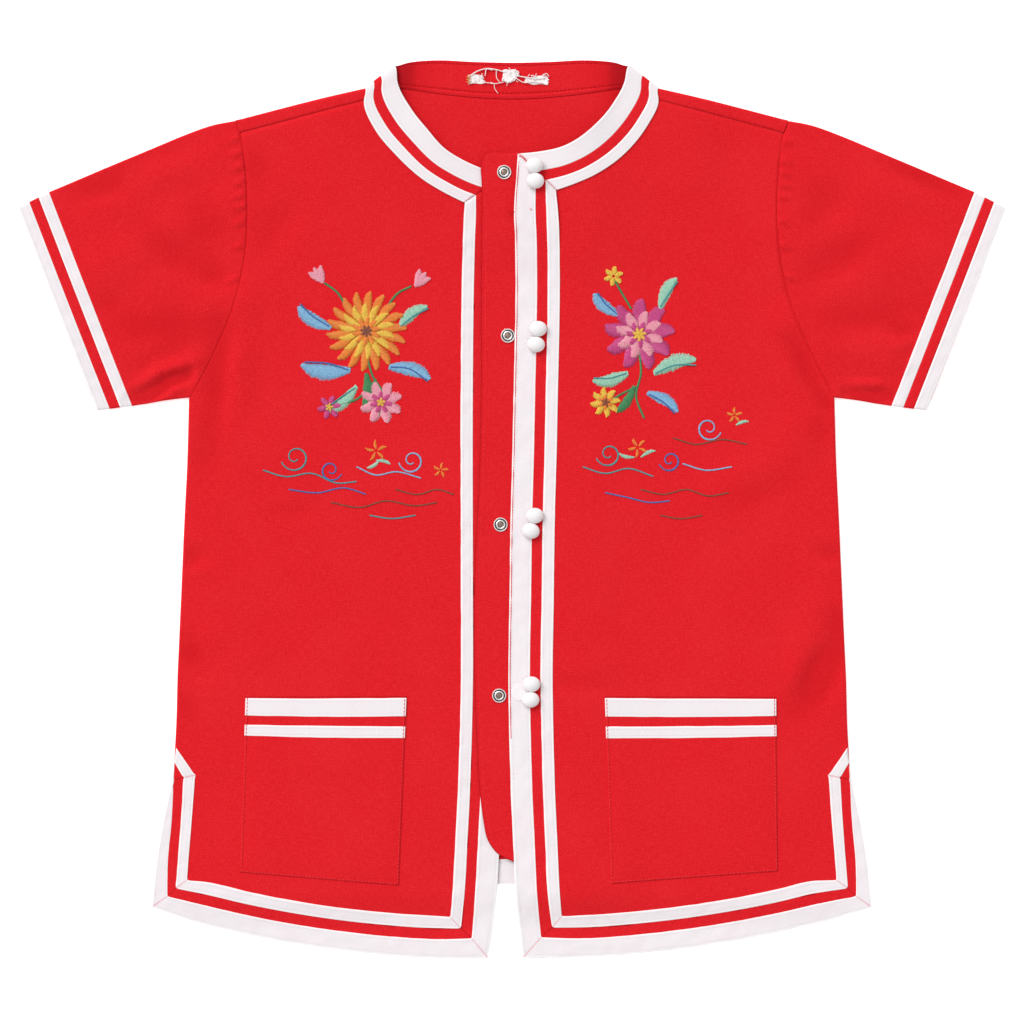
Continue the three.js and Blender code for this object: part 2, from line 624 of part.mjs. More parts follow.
function addSnaps() {
  const [rim, groove, ring, well] = [SNAP_RADIUS, SNAP_RADIUS * 0.78, SNAP_RADIUS * 0.58, SNAP_RADIUS * 0.34];
  const profile = [
    [0, 0],
    [rim - 0.2, 0],
    [rim, 0.25],
    [rim - 0.15, 0.7],
    [groove, 0.75],
    [groove - 0.25, 0.45],
    [ring, 0.5],
    [ring - 0.2, 1.5],
    [well, 1.55],
    [well - 0.25, 0.7],
    [0, 0.6],
  ];
  SNAPS.forEach(({ x, y }, i) => {
    turned(profile, "snap_" + (i + 1), STEEL, x, y, underlapLevel(x, y) + CLOTH / 2 + SEAM);
  });
}

function addButtons() {
  const profile = [
    [0, 0],
    [1.5, 0],
    [1.5, SHANK],
    [0.86 * BUTTON_WIDE, SHANK],
    [BUTTON_WIDE, SHANK + 0.9],
    [0.93 * BUTTON_WIDE, SHANK + 2.0],
    [0.7 * BUTTON_WIDE, SHANK + 3.1],
    [0.36 * BUTTON_WIDE, SHANK + 3.7],
    [0, SHANK + 3.9],
  ];
  const foot = ({ x, y }) => trimLevel("left", x, y) + CLOTH / 2 + SEAM;
  BUTTONS.forEach((button, i) => {
    const mesh = turned(profile, "button_" + (i + 1), WHITE, button.x, button.y, foot(button));
    mesh.scale.z = BUTTON_HIGH / BUTTON_WIDE;
  });
  const { radius, thick, x, y } = FLAT_BUTTON;
  const disc = [
    [0, 0],
    [radius - 0.2, 0],
    [radius, thick / 2],
    [radius - 0.2, thick],
    [0, thick],
  ];
  turned(disc, "flat_button", WHITE, x, y, foot({ x, y }));
}

addBack();
for (const side of ["left", "right"]) {
  addFront(side);
  addSleeve(side);
  addPocket(side);
}
addUnderlap();
addCollar();
addLabel();
addSnaps();
addButtons();

export default root;
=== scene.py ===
"""A child's short-sleeved red Tang jacket, laid flat on its back with its front up.

The tables are in millimetres and MM turns them into metres. +X runs to the wearer's left, +Y to the collar
and +Z up. Each piece of cloth is a thin wall over the form of its solid in the frame, with its creases.
"""

import math

import bpy
import numpy as np
from mathutils import Matrix


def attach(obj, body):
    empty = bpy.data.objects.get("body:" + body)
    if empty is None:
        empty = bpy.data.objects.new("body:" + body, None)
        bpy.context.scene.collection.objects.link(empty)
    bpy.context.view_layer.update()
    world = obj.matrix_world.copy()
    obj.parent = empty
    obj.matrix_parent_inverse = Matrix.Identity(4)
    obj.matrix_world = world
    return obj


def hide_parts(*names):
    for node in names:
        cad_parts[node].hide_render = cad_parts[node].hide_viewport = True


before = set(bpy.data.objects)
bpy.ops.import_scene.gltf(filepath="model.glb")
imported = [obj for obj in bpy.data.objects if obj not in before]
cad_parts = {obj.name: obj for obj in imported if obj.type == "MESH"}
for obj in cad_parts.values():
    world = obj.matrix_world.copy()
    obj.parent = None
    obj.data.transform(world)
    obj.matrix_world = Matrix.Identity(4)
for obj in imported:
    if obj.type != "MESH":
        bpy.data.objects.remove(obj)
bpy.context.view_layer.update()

MM = 0.001

# ---- Sizes ------------------------------------------------------------------------------------------

SEAM = 0.3  # gap between pieces that are sewn together
LAYER = 1.3  # rise from one layer of cloth to the next
FLOOR = 0.5  # middle of the cloth that rests on the surface
BAND = 12.0  # white band along the finished edges
STRIP = 6.5  # red strip inside it
TAPE = 7.0  # white tape inside that
TRIM = BAND + STRIP + TAPE
UNDER_TAPE = BAND + STRIP + SEAM
STAND = 22.0  # height of the stand collar
CUFF_BAND = 7.6
BACK_BAND = 15.5
LOFT = 1.6  # how far the fronts swell between their centre and the side
SLEEVE_LOFT = 1.2
NECK_LIFT = 1.2  # how far the fronts rise round the neck
COLLAR_RISE = 1.5
SIDE = 207.0  # from the centre to the side seam
THIN = 0.5  # wall of the shirt cotton as it is shown

CENTRE = [  # height, and the edges of the left and the right front
    (-236, 2.3, -9.3), (-205, 0.9, -7.6), (-180, -0.3, -6.3), (-150, -1.2, -5.2), (-128, -1.7, -4.6),
    (-105, -2.0, -4.2), (-56, -1.3, -4.2), (-10, -0.7, -4.3), (35, 0.5, -4.4), (75, 1.3, -4.3),
    (105, 2.0, -4.1), (130, 2.4, -3.8), (150, 2.4, -3.4), (168, 2.1, -2.9), (180, 1.6, -2.4),
]
SLIT = [  # edge, band, strip and tape seams from the chevron's top down to the hem's corner
    [(209.5, -160.0), (209.4, -159.0), (209.2, -157.0), (208.1, -148.3)],
    [(210.4, -170.0), (209.9, -168.2), (203.6, -166.5), (196.4, -165.2)],
    [(215.6, -192.8), (211.0, -192.6), (205.1, -192.4), (198.4, -192.0)],
    [(219.9, -217.6), (213.2, -217.2), (206.9, -216.6), (200.4, -215.8)],
    [(223.1, -246.8), (213.6, -240.3), (208.4, -235.2), (201.4, -230.3)],
]
HEM_X = [192, 170, 146, 122, 98, 74, 50]
HEM = {
    "left": {"low": -278.8, "rise": 25.6, "flat": 10, "reach": 193},
    "right": {"low": -279.0, "rise": 27.5, "flat": 20, "reach": 193},
}
HEM_CORNER = {
    "left": [(6.9, -278.6), (18.2, -265.9), (24.9, -259.8), (30.8, -252.7)],
    "right": [(-14.7, -278.6), (-24.8, -266.5), (-31.4, -260.4), (-37.9, -253.3)],
}
BACK_SLIT = [
    [(209.2, -160.0), (209.1, -159.0), (208.9, -157.0), (208.1, -148.3)],
    [(209.6, -178.0), (198.0, -173.4), (191.5, -171.0), (184.8, -168.5)],
    [(212.0, -226.5), (200.0, -211.2), (193.5, -204.6), (186.5, -197.5)],
]
BACK_HEM_X = [164, 139, 113, 86, 58, 29, 0]
BACK_HEM = {"low": -233, "rise": 6, "flat": 0, "reach": 212}
CENTRE_WIDTHS = (13.3, 19.8, 27.2)  # where band, strip and tape end down the front edges
HEM_WIDTHS = (11.4, 18.3, 26.0)  # and along the hem
BACK_WIDTHS = (BACK_BAND, BACK_BAND + STRIP, BACK_BAND + STRIP + TAPE)
SIDE_SEAM = [(208.0, -134), (207.2, -105), (205.0, -56), (203.0, -10), (201.0, 32), (200.0, 68.5)]
ARMHOLE = [(186.8, 93.6), (172.9, 126.2), (166.0, 156.4), (164.3, 186.0), (165.6, 212.0), (168.6, 233.0)]
SHOULDER = [  # fold, and the forward seam
    ((170.5, 240.9), (168.6, 233.0)),
    ((144.0, 247.8), (141.7, 240.0)),
    ((117.0, 254.5), (114.8, 247.0)),
    ((86.4, 261.4), (85.8, 254.3)),
]
NECK = {  # collar's free edge and neck tape's outer edge, from the front edge to the side
    "left": [
        ((3.9, 219.5), (27.1, 197.0)),
        ((16.0, 220.6), (31.5, 198.5)),
        ((29.0, 223.1), (37.5, 200.6)),
        ((39.4, 227.7), (52.0, 207.0)),
        ((52.4, 238.0), (69.5, 219.6)),
        ((62.9, 250.7), (84.4, 238.2)),
        ((70.0, 264.4), (90.7, 252.3)),
    ],
    "right": [
        ((-4.0, 206.5), (-28.9, 189.8)),
        ((-16.5, 210.2), (-31.5, 191.0)),
        ((-30.6, 216.2), (-42.5, 196.5)),
        ((-41.1, 222.6), (-54.8, 204.0)),
        ((-52.5, 235.0), (-72.2, 219.8)),
        ((-62.3, 247.4), (-84.3, 234.5)),
        ((-70.9, 264.4), (-91.3, 252.0)),
    ],
}
NECK_FOLD = ((72.0, 274.4), (90.0, 260.6))
BACK_NECK = [
    ((63.0, 276.9), (69.0, 261.0)),
    ((46.0, 278.2), (47.0, 258.0)),
    ((23.0, 277.2), (23.0, 255.4)),
    ((0.0, 276.7), (0.0, 254.4)),
]
SLEEVE = [  # top fold and underarm fold, from the armhole outwards
    ((171.4, 240.5), (200.4, 69.1)),
    ((188.0, 237.1), (206.0, 68.7)),
    ((205.0, 230.9), (211.5, 68.0)),
    ((222.0, 223.8), (216.5, 67.3)),
    ((239.0, 216.7), (221.5, 66.4)),
    ((255.0, 210.0), (226.5, 65.5)),
    ((271.0, 203.2), (231.3, 64.8)),
]
CUFF = ((306.0, 186.8), (257.2, 61.3))
CUFF_IN = ((-0.896, 0.457), (-1.018, 0.131))
UNDERLAP = [  # height and free edge
    (220.4, -14.2), (219.4, -16.8), (217.0, -18.0), (200.0, -18.4), (184.0, -18.4), (168.0, -18.5),
    (150.0, -18.6), (130.0, -18.7), (70.0, -18.8), (18.0, -20.0), (-32.0, -22.5), (-104.0, -22.8),
    (-140.0, -21.5), (-177.0, -19.4), (-193.0, -17.4), (-205.0, -14.7), (-213.0, -9.0), (-218.3, 1.0),
]
UNDERLAP_SEWN = 13.5
POCKETS = {  # upper inner, upper outer, lower inner and lower outer corner
    "left": [(57.6, -116.3), (163.7, -116.9), (61.4, -232.0), (164.8, -224.4)],
    "right": [(-65.2, -116.3), (-164.8, -116.6), (-70.0, -233.2), (-168.3, -225.1)],
}
SNAPS = [(-4.7, 208.4), (-2.4, 107.3), (-6.9, -9.7), (-7.8, -115.6)]
SNAP_RADIUS = 4.35
BUTTONS = [  # middle, and turn in degrees
    (14.0, 212.0, 4), (14.5, 202.4, -3), (16.3, 111.3, 2), (15.0, 101.6, -5), (14.2, -4.2, 6),
    (11.8, -13.6, -12), (12.2, -108.3, 0), (11.6, -117.9, 3),
]
BUTTON_WIDE = 5.5
BUTTON_HIGH = 4.85
SHANK = 1.6
FLAT_BUTTON = (5.0, -113.5, 5.3)  # middle and radius

FOLDS = [  # main soft folds: from, to, half width and height
    (172, 118, 232, 94, 13, 1.4), (176, 178, 258, 158, 15, 1.1), (170, 215, 236, 190, 12, 0.8),
    (190, 50, 128, 6, 15, 1.0), (192, -60, 170, -100, 12, 0.7), (-170, 126, -234, 104, 14, 1.3),
    (-172, 190, -254, 150, 14, 1.2), (-170, 222, -230, 204, 11, 0.7), (-188, 56, -134, 24, 14, 1.1),
    (-190, -40, -158, -88, 13, 0.7),
]
CREASES = [  # troughs and, where the height is positive, small ridges: from, to, half width and height
    (-200, 86, -236, 66.5, 3.6, -2.4), (-197, 92.5, -230, 77, 5, 1.2), (-201, 82, -214, 82.5, 4, -1.8),
    (-252, 111, -178, 114, 11, -0.9), (-258.5, 129.6, -240, 126, 7, -0.6),
    (-230.6, 176, -193.4, 147, 11, -0.8), (-193.4, 147, -172, 139, 8, -0.6),
    (-199.6, 194.7, -184, 160.6, 13, -0.7), (-274, 196.5, -233.7, 205, 8, -0.9),
    (-243, 213, -199.6, 228.8, 8, -0.5), (-159, 222.6, -155, 188.5, 9, -0.4),
    (-161, 153, -131.4, 194.7, 8, -0.4), (-179, 111, -184.8, 55, 8, -1.1),
    (-184.8, 55, -190.3, 18, 9, -0.6), (-167, 111, -173, 52, 7, 0.5),
    (-204, -31.6, -190, -26.7, 5, -0.8), (-205, -81, -192, -98.6, 8, -1.0),
    (-207, -112, -193.4, -137, 9, -0.5), (-155, -2, -113, -1, 5, -0.2),
    (208.5, 71.2, 236, 69, 3.6, -2.4), (209, 77.5, 228, 78, 2.6, 0.5), (186, 116, 256, 124.6, 11, -0.9),
    (175.5, 137, 231, 174, 11, -0.8), (181.7, 170, 202, 201, 12, -0.7),
    (231, 217.6, 276.5, 196.5, 7, -0.9), (235.6, 111, 250, 109.7, 5, -0.7), (242, 97, 252, 96, 4, -0.5),
    (175.5, 101.7, 192.0, 68.3, 5.5, -1.5), (193.4, 66.3, 188.5, 36.6, 8, -0.6),
    (192, 71, 200, 60, 4, -1.0), (202, -78, 180, -126, 10, -1.4), (188, -81, 169, -118, 6, 0.5),
    (200, -56, 206, -87, 6, -0.6), (191, -26.7, 204.6, -30, 5, -0.8),
    (116.6, -0.6, 178.6, 19, 8, -0.35), (20.5, -107, 70, -108.5, 6, -0.3),
]
PUCKERS = {  # heights at the armholes
    "left": [225.7, 213, 206, 198.5, 191, 176, 160.6, 142],
    "right": [227, 218, 209.6, 200, 192, 185, 175, 160.6, 140],
}
TAPE_PUCKERS = [-44, -56, -72, -90, -100]

# ---- Lines and patches -------------------------------------------------------------------------------

SIGN = {"left": 1, "right": -1}  # the way that X runs outwards on the wearer's left and right
SEAMS_AT = [0, BAND, BAND + STRIP, TRIM]  # edge, band, strip and tape seams, in from the finished edge
FRONT_CORNERS = (1, 4, 12)  # the rulings of a front that are sharp: chevron, slit corner and hem corner
BACK_CORNERS = (1, 2, 16, 17)  # and those of the back: chevron and slit corner on each side


def ease(low, high, value):
    """A smooth step from 0 at `low` to 1 at `high`."""
    share = np.clip((value - low) / (high - low), 0, 1)
    return share * share * (3 - 2 * share)


def bell(away):
    """1 at 0, falling off smoothly to both sides."""
    return np.exp(-away * away)


def unit(vectors):
    return vectors / (np.linalg.norm(vectors, axis=-1, keepdims=True) + 1e-9)


def raised(xy, z):
    """Places on the plane, joined to their heights."""
    return np.concatenate([xy, z[..., None]], -1)


def between(top, base, depth, deep=TRIM):
    """The place, or places, at a depth below `top` on a line that reaches `base` at the depth `deep`."""
    top, base = np.asarray(top, float), np.asarray(base, float)
    return top + (base - top) * np.asarray(depth)[..., None] / deep


def run(line):
    """How far along a line each of its points is."""
    line = np.asarray(line, float)
    return np.concatenate([[0], np.cumsum(np.linalg.norm(np.diff(line, axis=0), axis=1))])


def shares(line):
    """How far along a line each of its points is, from 0 to 1."""
    length = run(line)
    return length / length[-1]


def flow(stations, knots, at, corners=()):
    """Smooth lines through stations that lie at the knots, read at other places; sharp at the corners."""
    p, k, at = np.asarray(stations, float), np.asarray(knots, float), np.asarray(at, float)
    gap = np.diff(k).reshape(-1, *[1] * (p.ndim - 1))
    slope = np.diff(p, axis=0) / gap
    middle = (gap[1:] * slope[:-1] + gap[:-1] * slope[1:]) / (gap[1:] + gap[:-1])
    leave = np.concatenate([slope[:1], middle, slope[-1:]])
    arrive = leave.copy()
    for i in corners:
        leave[i], arrive[i] = slope[i], slope[i - 1]
    j = np.clip(np.searchsorted(k, at, "right") - 1, 0, len(k) - 2)
    t = ((at - k[j]) / (k[j + 1] - k[j])).reshape(-1, *[1] * (p.ndim - 1))
    h = gap[j]
    return (
        (1 + 2 * t) * (1 - t) ** 2 * p[j]
        + t * (1 - t) ** 2 * h * leave[j]
        + t * t * (3 - 2 * t) * p[j + 1]
        + t * t * (t - 1) * h * arrive[j + 1]
    )


def steps(knots, length, step, close=()):
    """Places along knots that keep every knot, about `step` apart, and `close` ones near the start."""
    out = [np.asarray(close, float) / length]
    for a, b in zip(knots[:-1], knots[1:]):
        out.append(np.linspace(a, b, max(2, int(round((b - a) * length / step)) + 1)))
    return np.unique(np.round(np.concatenate(out), 7))


def spread(length, close, start, count):
    """Places from 0 to `length`: the `close` ones at each end, and `count` even ones between them."""
    close = np.asarray(close, float)
    return np.unique(np.concatenate([close, np.linspace(start, length - start, count), length - close]))


def patch(bottom, top, start, end, u, v):
    """A piece laid out between four edges that are already read at u and v."""
    u, v = u[None, :, None], v[:, None, None]
    sides = start[:, None] * (1 - u) + end[:, None] * u
    ends = bottom[None] * (1 - v) + top[None] * v
    corners = (1 - v) * ((1 - u) * bottom[0] + u * bottom[-1]) + v * ((1 - u) * top[0] + u * top[-1])
    return sides + ends - corners


# ---- Lie of the cloth --------------------------------------------------------------------------------

LATTICE = np.random.RandomState(11).uniform(-1, 1, (4, 64, 64))


def rumple(x, y, size, layer):
    """Soft uneven swells about `size` across, from -1 to 1."""
    u, v = np.asarray(x) / size + 1024, np.asarray(y) / size + 1024
    i, j = np.floor(u).astype(int), np.floor(v).astype(int)
    s, t = ease(0, 1, u - i), ease(0, 1, v - j)
    g = LATTICE[layer]
    near = g[i % 64, j % 64] * (1 - s) + g[(i + 1) % 64, j % 64] * s
    far = g[i % 64, (j + 1) % 64] * (1 - s) + g[(i + 1) % 64, (j + 1) % 64] * s
    return near * (1 - t) + far * t


def ridge(x, y, x1, y1, x2, y2, width):
    """How far a place is from a line, in widths, and how far along the line it is."""
    dx, dy = x2 - x1, y2 - y1
    share = np.clip(((x - x1) * dx + (y - y1) * dy) / (dx * dx + dy * dy), 0, 1)
    return np.hypot(x - x1 - share * dx, y - y1 - share * dy) / width, share


def folds(x, y):
    """Height of the main soft folds."""
    return sum(tall * bell(ridge(x, y, *line, width)[0]) for *line, width, tall in FOLDS)


def creases(x, y):
    """Troughs with a low swell on each side, deepest about the middle of their length, and the puckers."""
    height = np.zeros(np.shape(x))
    wander = 1.2 * rumple(x, y, 17, 3)
    for *line, width, tall in CREASES:
        away, share = ridge(x + wander, y - wander, *line, width)
        fade = 0.35 + 0.65 * ease(0, 0.35, share) * (1 - ease(0.6, 1, share))
        height += 1.5 * tall * fade * (bell(away) - 0.30 * bell(away - 1.9))
    seam = np.interp(y, [p[1] for p in ARMHOLE], [p[0] for p in ARMHOLE])
    for side, marks in PUCKERS.items():
        out = (x * SIGN[side] - seam) / 9
        for at in marks:
            down = y - at + 2.5 * out
            pucker = 1.25 * bell((down - 2.9) / 1.7) - 0.45 * bell(down / 1.7)
            height += pucker * ease(0.0, 0.15, out) * (1 - ease(0.35, 1.1, out))
    for at in TAPE_PUCKERS:
        height -= 0.3 * bell((y - at + (x + 38) * 0.25) / 2.4) * bell((x + 36) / 6)
    return height


def crease_shade(x, y):
    """How much painted shade darkens the cloth in its creases, from 0 to 1."""
    return np.clip(-creases(x, y) / 1.3, 0, 1)


def front_level(side, x, y):
    """Middle of a front's cloth over the back. The left front also lies over the underlap."""
    out = np.abs(x)
    settled = ease(-262, -237, y)
    loft = LOFT * np.maximum(0, 4 * out * (SIDE - out)) / SIDE**2
    neck = NECK_LIFT * (x / 90) ** 2 * (1 - ease(95, 150, np.hypot(x, y - 262)))
    over = ease(-262, -236, y) * (2 + ease(138, 164, y)) if side == "left" else 0
    lap = LAYER * over * (0.5 + 0.5 * np.cos(np.pi * ease(16, 110, out)))
    swell = 0.22 * rumple(x, y, 38, 0) + 0.13 * rumple(x, y, 17, 1) + 0.05 * rumple(x, y, 8, 2)
    level = FLOOR + settled * (LAYER + loft + neck) + lap + folds(x, y) + creases(x, y)
    level = level + swell * (0.3 + 0.7 * settled)
    low = FLOOR + 0.75 * settled
    return low + np.logaddexp(0, (level - low) * 3) / 3


def underlap_level(x, y):
    """Middle of the underlap, which lies a layer over the right front and two at the neck."""
    return front_level("right", x, y) + LAYER * (1 + ease(144, 170, y))


def trim_step(side, y):
    """How far a front's trims rise near the neck, where they lie over the end of the collar."""
    return LAYER * (ease(158, 180, y) if side == "left" else ease(148, 168, y))


def trim_level(side, x, y):
    return front_level(side, x, y) + trim_step(side, y)


def tape_level(side, x, y):
    return front_level(side, x, y) + 0.8 * trim_step(side, y)


def collar_rise(x, depth):
    """How far the collar stands off the fronts between its ends and the sides of the neck."""
    along = ease(20, 50, np.abs(x)) * (1 - ease(54, 68, np.abs(x)))
    return COLLAR_RISE * along * np.maximum(0, 1 - depth / STAND) ** 2


# ---- Making pieces -----------------------------------------------------------------------------------

# Painted shade: this mark darkens red cotton where shade falls, in creases, along seams and edges, at mitres
# and inside the collar.
SHADE_MARK = "painted_shade"  # the mark that darkens red cotton


def make(name, points, faces, stuff, nodes=(), uv=None, marks=None, thick=THIN):
    """A piece from points in millimetres, of a finish; the slot paired with the finish is not used. It has
    no wall where `thick` is 0.
    """
    finish, slot = stuff
    mesh = bpy.data.meshes.new(name)
    mesh.from_pydata((np.asarray(points) * MM).tolist(), [], np.asarray(faces).tolist())
    if uv is not None:
        corner = np.zeros(len(mesh.loops), np.int32)
        mesh.loops.foreach_get("vertex_index", corner)
        layer = mesh.uv_layers.new(name="cloth")
        layer.data.foreach_set("uv", uv.reshape(-1, 2)[corner].astype(np.float32).ravel())
    for label, values in (marks or {}).items():
        mark = mesh.attributes.new(label, "FLOAT", "POINT")
        mark.data.foreach_set("value", np.asarray(values, np.float32).ravel())
    mesh.shade_smooth()
    piece = bpy.data.objects.new(name, mesh)
    bpy.context.scene.collection.objects.link(piece)
    mesh.materials.append(finish)
    if thick:
        thicken(piece, thick)
    return dress(piece, nodes)


def thicken(piece, thick):
    wall = piece.modifiers.new("wall", "SOLIDIFY")
    wall.thickness, wall.offset = thick * MM, 0


def dress(piece, nodes=()):
    """Joins a piece to the body and hides the nodes that it takes the place of."""
    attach(piece, "root")
    if nodes:
        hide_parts(*nodes)
    return piece


def mesh_of(grid, closed=False):
    """Points and faces of a grid of rows; `closed` joins the last column to the first."""
    rows, wide = grid.shape[:2]
    r, c = np.meshgrid(np.arange(rows - 1), np.arange(wide if closed else wide - 1), indexing="ij")
    d = (c + 1) % wide
    faces = np.stack([r * wide + c, r * wide + d, (r + 1) * wide + d, (r + 1) * wide + c], -1)
    return grid.reshape(-1, grid.shape[-1]), faces.reshape(-1, 4)


def faced(points, faces, outward=None, judged=None):
    """Faces turned up, as the first `judged` of them lie, or away from the place `outward`."""
    p = points[faces[:judged]]
    normal = np.cross(p[:, 2] - p[:, 0], p[:, 3] - p[:, 1])
    turned = normal[:, 2].sum() if outward is None else (normal * (p.mean(1) - outward)).sum()
    return faces[:, ::-1] if turned < 0 else faces


def lay(node, grid, stuff, uv, marks, thick=THIN, closed=False, judged=None, ending="_cloth"):
    """A piece of cloth over a grid of points, in place of the frame's node."""
    points, faces = mesh_of(grid, closed)
    faces = faced(points, faces, points.mean(0) if closed else None, judged)
    return make(node + ending, points, faces, stuff, (node,), uv, marks, thick)


def cloth(node, grid, shade_amount, grain=0.0, thick=THIN, closed=False):
    """A piece of red cotton with its grain at an angle to Y."""
    x, y, turn = grid[..., 0], grid[..., 1], math.radians(grain)
    uv = [x * math.cos(turn) + y * math.sin(turn), y * math.cos(turn) - x * math.sin(turn)]
    return lay(node, grid, RED_CLOTH, np.stack(uv, -1), {SHADE_MARK: shade_amount}, thick, closed)


def primitive(kind, **values):
    """A new primitive of its own, with nothing else selected."""
    bpy.ops.object.select_all(action="DESELECT")
    getattr(bpy.ops.mesh, f"primitive_{kind}_add")(**values)
    return bpy.context.object


def edit(piece, *work):
    """Runs the given steps in edit mode on one piece."""
    bpy.ops.object.select_all(action="DESELECT")
    piece.select_set(True)
    bpy.context.view_layer.objects.active = piece
    bpy.ops.object.mode_set(mode="EDIT")
    for step in work:
        step()
    bpy.ops.object.mode_set(mode="OBJECT")


def pick(piece, test):
    """Selects the faces of a piece, in edit mode, whose middle and normal pass the test."""
    bpy.ops.object.mode_set(mode="OBJECT")
    for group in (piece.data.vertices, piece.data.edges, piece.data.polygons):
        group.foreach_set("select", [False] * len(group))
    for face in piece.data.polygons:
        face.select = test(face.center, face.normal)
    bpy.ops.object.mode_set(mode="EDIT")
    bpy.ops.mesh.select_mode(type="FACE")


def merge():
    """Joins the edges of grids that meet."""
    bpy.ops.mesh.select_all(action="SELECT")
    bpy.ops.mesh.remove_doubles(threshold=0.05 * MM)


def soften(piece, width, segments, angle):
    """Rounds the edges of a piece that are sharper than the angle."""
    bevel = piece.modifiers.new("soft edges", "BEVEL")
    bevel.width, bevel.segments = width * MM, segments
    bevel.limit_method, bevel.angle_limit = "ANGLE", math.radians(angle)
    bpy.ops.object.modifier_apply(modifier="soft edges")


def move(x, y, z):
    bpy.ops.transform.translate(value=(x * MM, y * MM, z * MM))


# ---- Finishes ----------------------------------------------------------------------------------------


class Finish:
    """A material with short ways to add and join its nodes."""

    def __init__(self, name, roughness, sheen=0.0, metallic=0.0, specular=0.3):
        self.material = bpy.data.materials.new(name)
        self.material.use_nodes = True
        self.nodes = self.material.node_tree.nodes
        self.links = self.material.node_tree.links
        self.shader = self.nodes["Principled BSDF"]
        self.shader.inputs["Roughness"].default_value = roughness
        self.shader.inputs["Metallic"].default_value = metallic
        self.shader.inputs["Specular IOR Level"].default_value = specular
        self.shader.inputs["Sheen Weight"].default_value = sheen

    def add(self, kind, inputs, **settings):
        """A node with its settings, and with a value or another node's output at each of its inputs."""
        node = self.nodes.new(kind)
        for key, value in settings.items():
            setattr(node, key, value)
        for socket, value in inputs.items():
            if isinstance(value, bpy.types.NodeSocket):
                self.links.new(value, node.inputs[socket])
            else:
                node.inputs[socket].default_value = value
        return node

    def place(self, scale, source):
        """The cloth's own place, in millimetres when `scale` is 1 on the UV map and 1000 on the object."""
        where = self.add("ShaderNodeTexCoord", {}).outputs[source]
        return self.add("ShaderNodeMapping", {"Vector": where, "Scale": scale}).outputs["Vector"]

    def noise(self, scale, source="UV", detail=2.0, rough=0.5):
        inputs = {"Vector": self.place(scale, source), "Scale": 1.0, "Detail": detail, "Roughness": rough}
        return self.add("ShaderNodeTexNoise", inputs, noise_dimensions="3D").outputs["Fac"]

    def waves(self, scale, source="UV"):
        inputs = {"Vector": self.place(scale, source), "Scale": 1.0, "Distortion": 0.6, "Detail Scale": 0.5}
        settings = {"wave_type": "BANDS", "bands_direction": "X", "wave_profile": "SIN"}
        return self.add("ShaderNodeTexWave", inputs, **settings).outputs["Fac"]

    def attribute(self, name):
        return self.add("ShaderNodeAttribute", {}, attribute_name=name).outputs["Fac"]

    def remap(self, source, low, high, to_low=0.0, to_high=1.0):
        inputs = {"Value": source, "From Min": low, "From Max": high, "To Min": to_low, "To Max": to_high}
        return self.add("ShaderNodeMapRange", inputs, clamp=True).outputs["Result"]

    def sum(self, *parts):
        """Adds (source, weight) pairs."""
        total = 0.0
        for source, weight in parts:
            node = self.add("ShaderNodeMath", {0: source, 1: weight, 2: total}, operation="MULTIPLY_ADD")
            total = node.outputs[0]
        return total

    def tint(self, below, share, colour):
        """Lays a colour over what is below it, as much as the share says."""
        below = (*below, 1) if isinstance(below, tuple) else below
        inputs = {"A": below, "B": (*colour, 1), "Factor": share}
        return self.add("ShaderNodeMix", inputs, data_type="RGBA").outputs["Result"]

    def colour(self, source):
        self.links.new(source, self.shader.inputs["Base Color"])

    def bump(self, source, depth, strength=1.0):
        inputs = {"Strength": strength, "Distance": depth * MM, "Height": source}
        node = self.add("ShaderNodeBump", inputs)
        self.links.new(node.outputs["Normal"], self.shader.inputs["Normal"])


RED = (0.748, 0.0125, 0.0195)
RED_DEEP = (0.56, 0.0055, 0.0105)
RED_LIGHT = (0.86, 0.036, 0.045)
RED_DARK = (0.26, 0.004, 0.008)
WHITE = (0.885, 0.828, 0.855)
PINK = (0.78, 0.30, 0.35)


def red_cotton():
    """Plain-woven shirt cotton with slubs both ways, and painted shade where its shade mark is set: in
    creases, along seams and edges and inside the collar.
    """
    f = Finish("red cotton", 0.9, sheen=0.02, specular=0.06)
    across = f.noise((0.24, 1.15, 1), detail=2, rough=0.6)
    down = f.noise((1.15, 0.24, 1), detail=2, rough=0.6)
    fine = f.noise((1.35, 1.35, 1), detail=2, rough=0.7)
    patchy = f.noise((0.022, 0.022, 1), detail=3)
    weft, warp = f.waves((0.0, 0.62, 0)), f.waves((0.62, 0.0, 0))
    slub, shade_amount = f.sum((across, 0.5), (down, 0.5)), f.attribute(SHADE_MARK)
    below = RED
    for source, low, high, strength, colour in (
        (slub, 0.50, 0.66, 0.36, RED_LIGHT),
        (slub, 0.50, 0.34, 0.36, RED_DEEP),
        (patchy, 0.46, 0.72, 0.16, RED_LIGHT),
        (fine, 0.54, 0.34, 0.38, RED_DEEP),
        (fine, 0.50, 0.70, 0.50, RED_LIGHT),
        # painted shade from the shade mark, deeper past 1
        (shade_amount, 0.0, 1.0, 0.40, RED_DEEP),
        (shade_amount, 1.0, 1.6, 0.9, RED_DARK),
    ):
        below = f.tint(below, f.remap(source, low, high, 0, strength), colour)
    f.colour(below)
    f.bump(f.sum((across, 0.22), (down, 0.22), (fine, 0.26), (weft, 0.10), (warp, 0.10)), 0.40, 0.8)
    return f.material


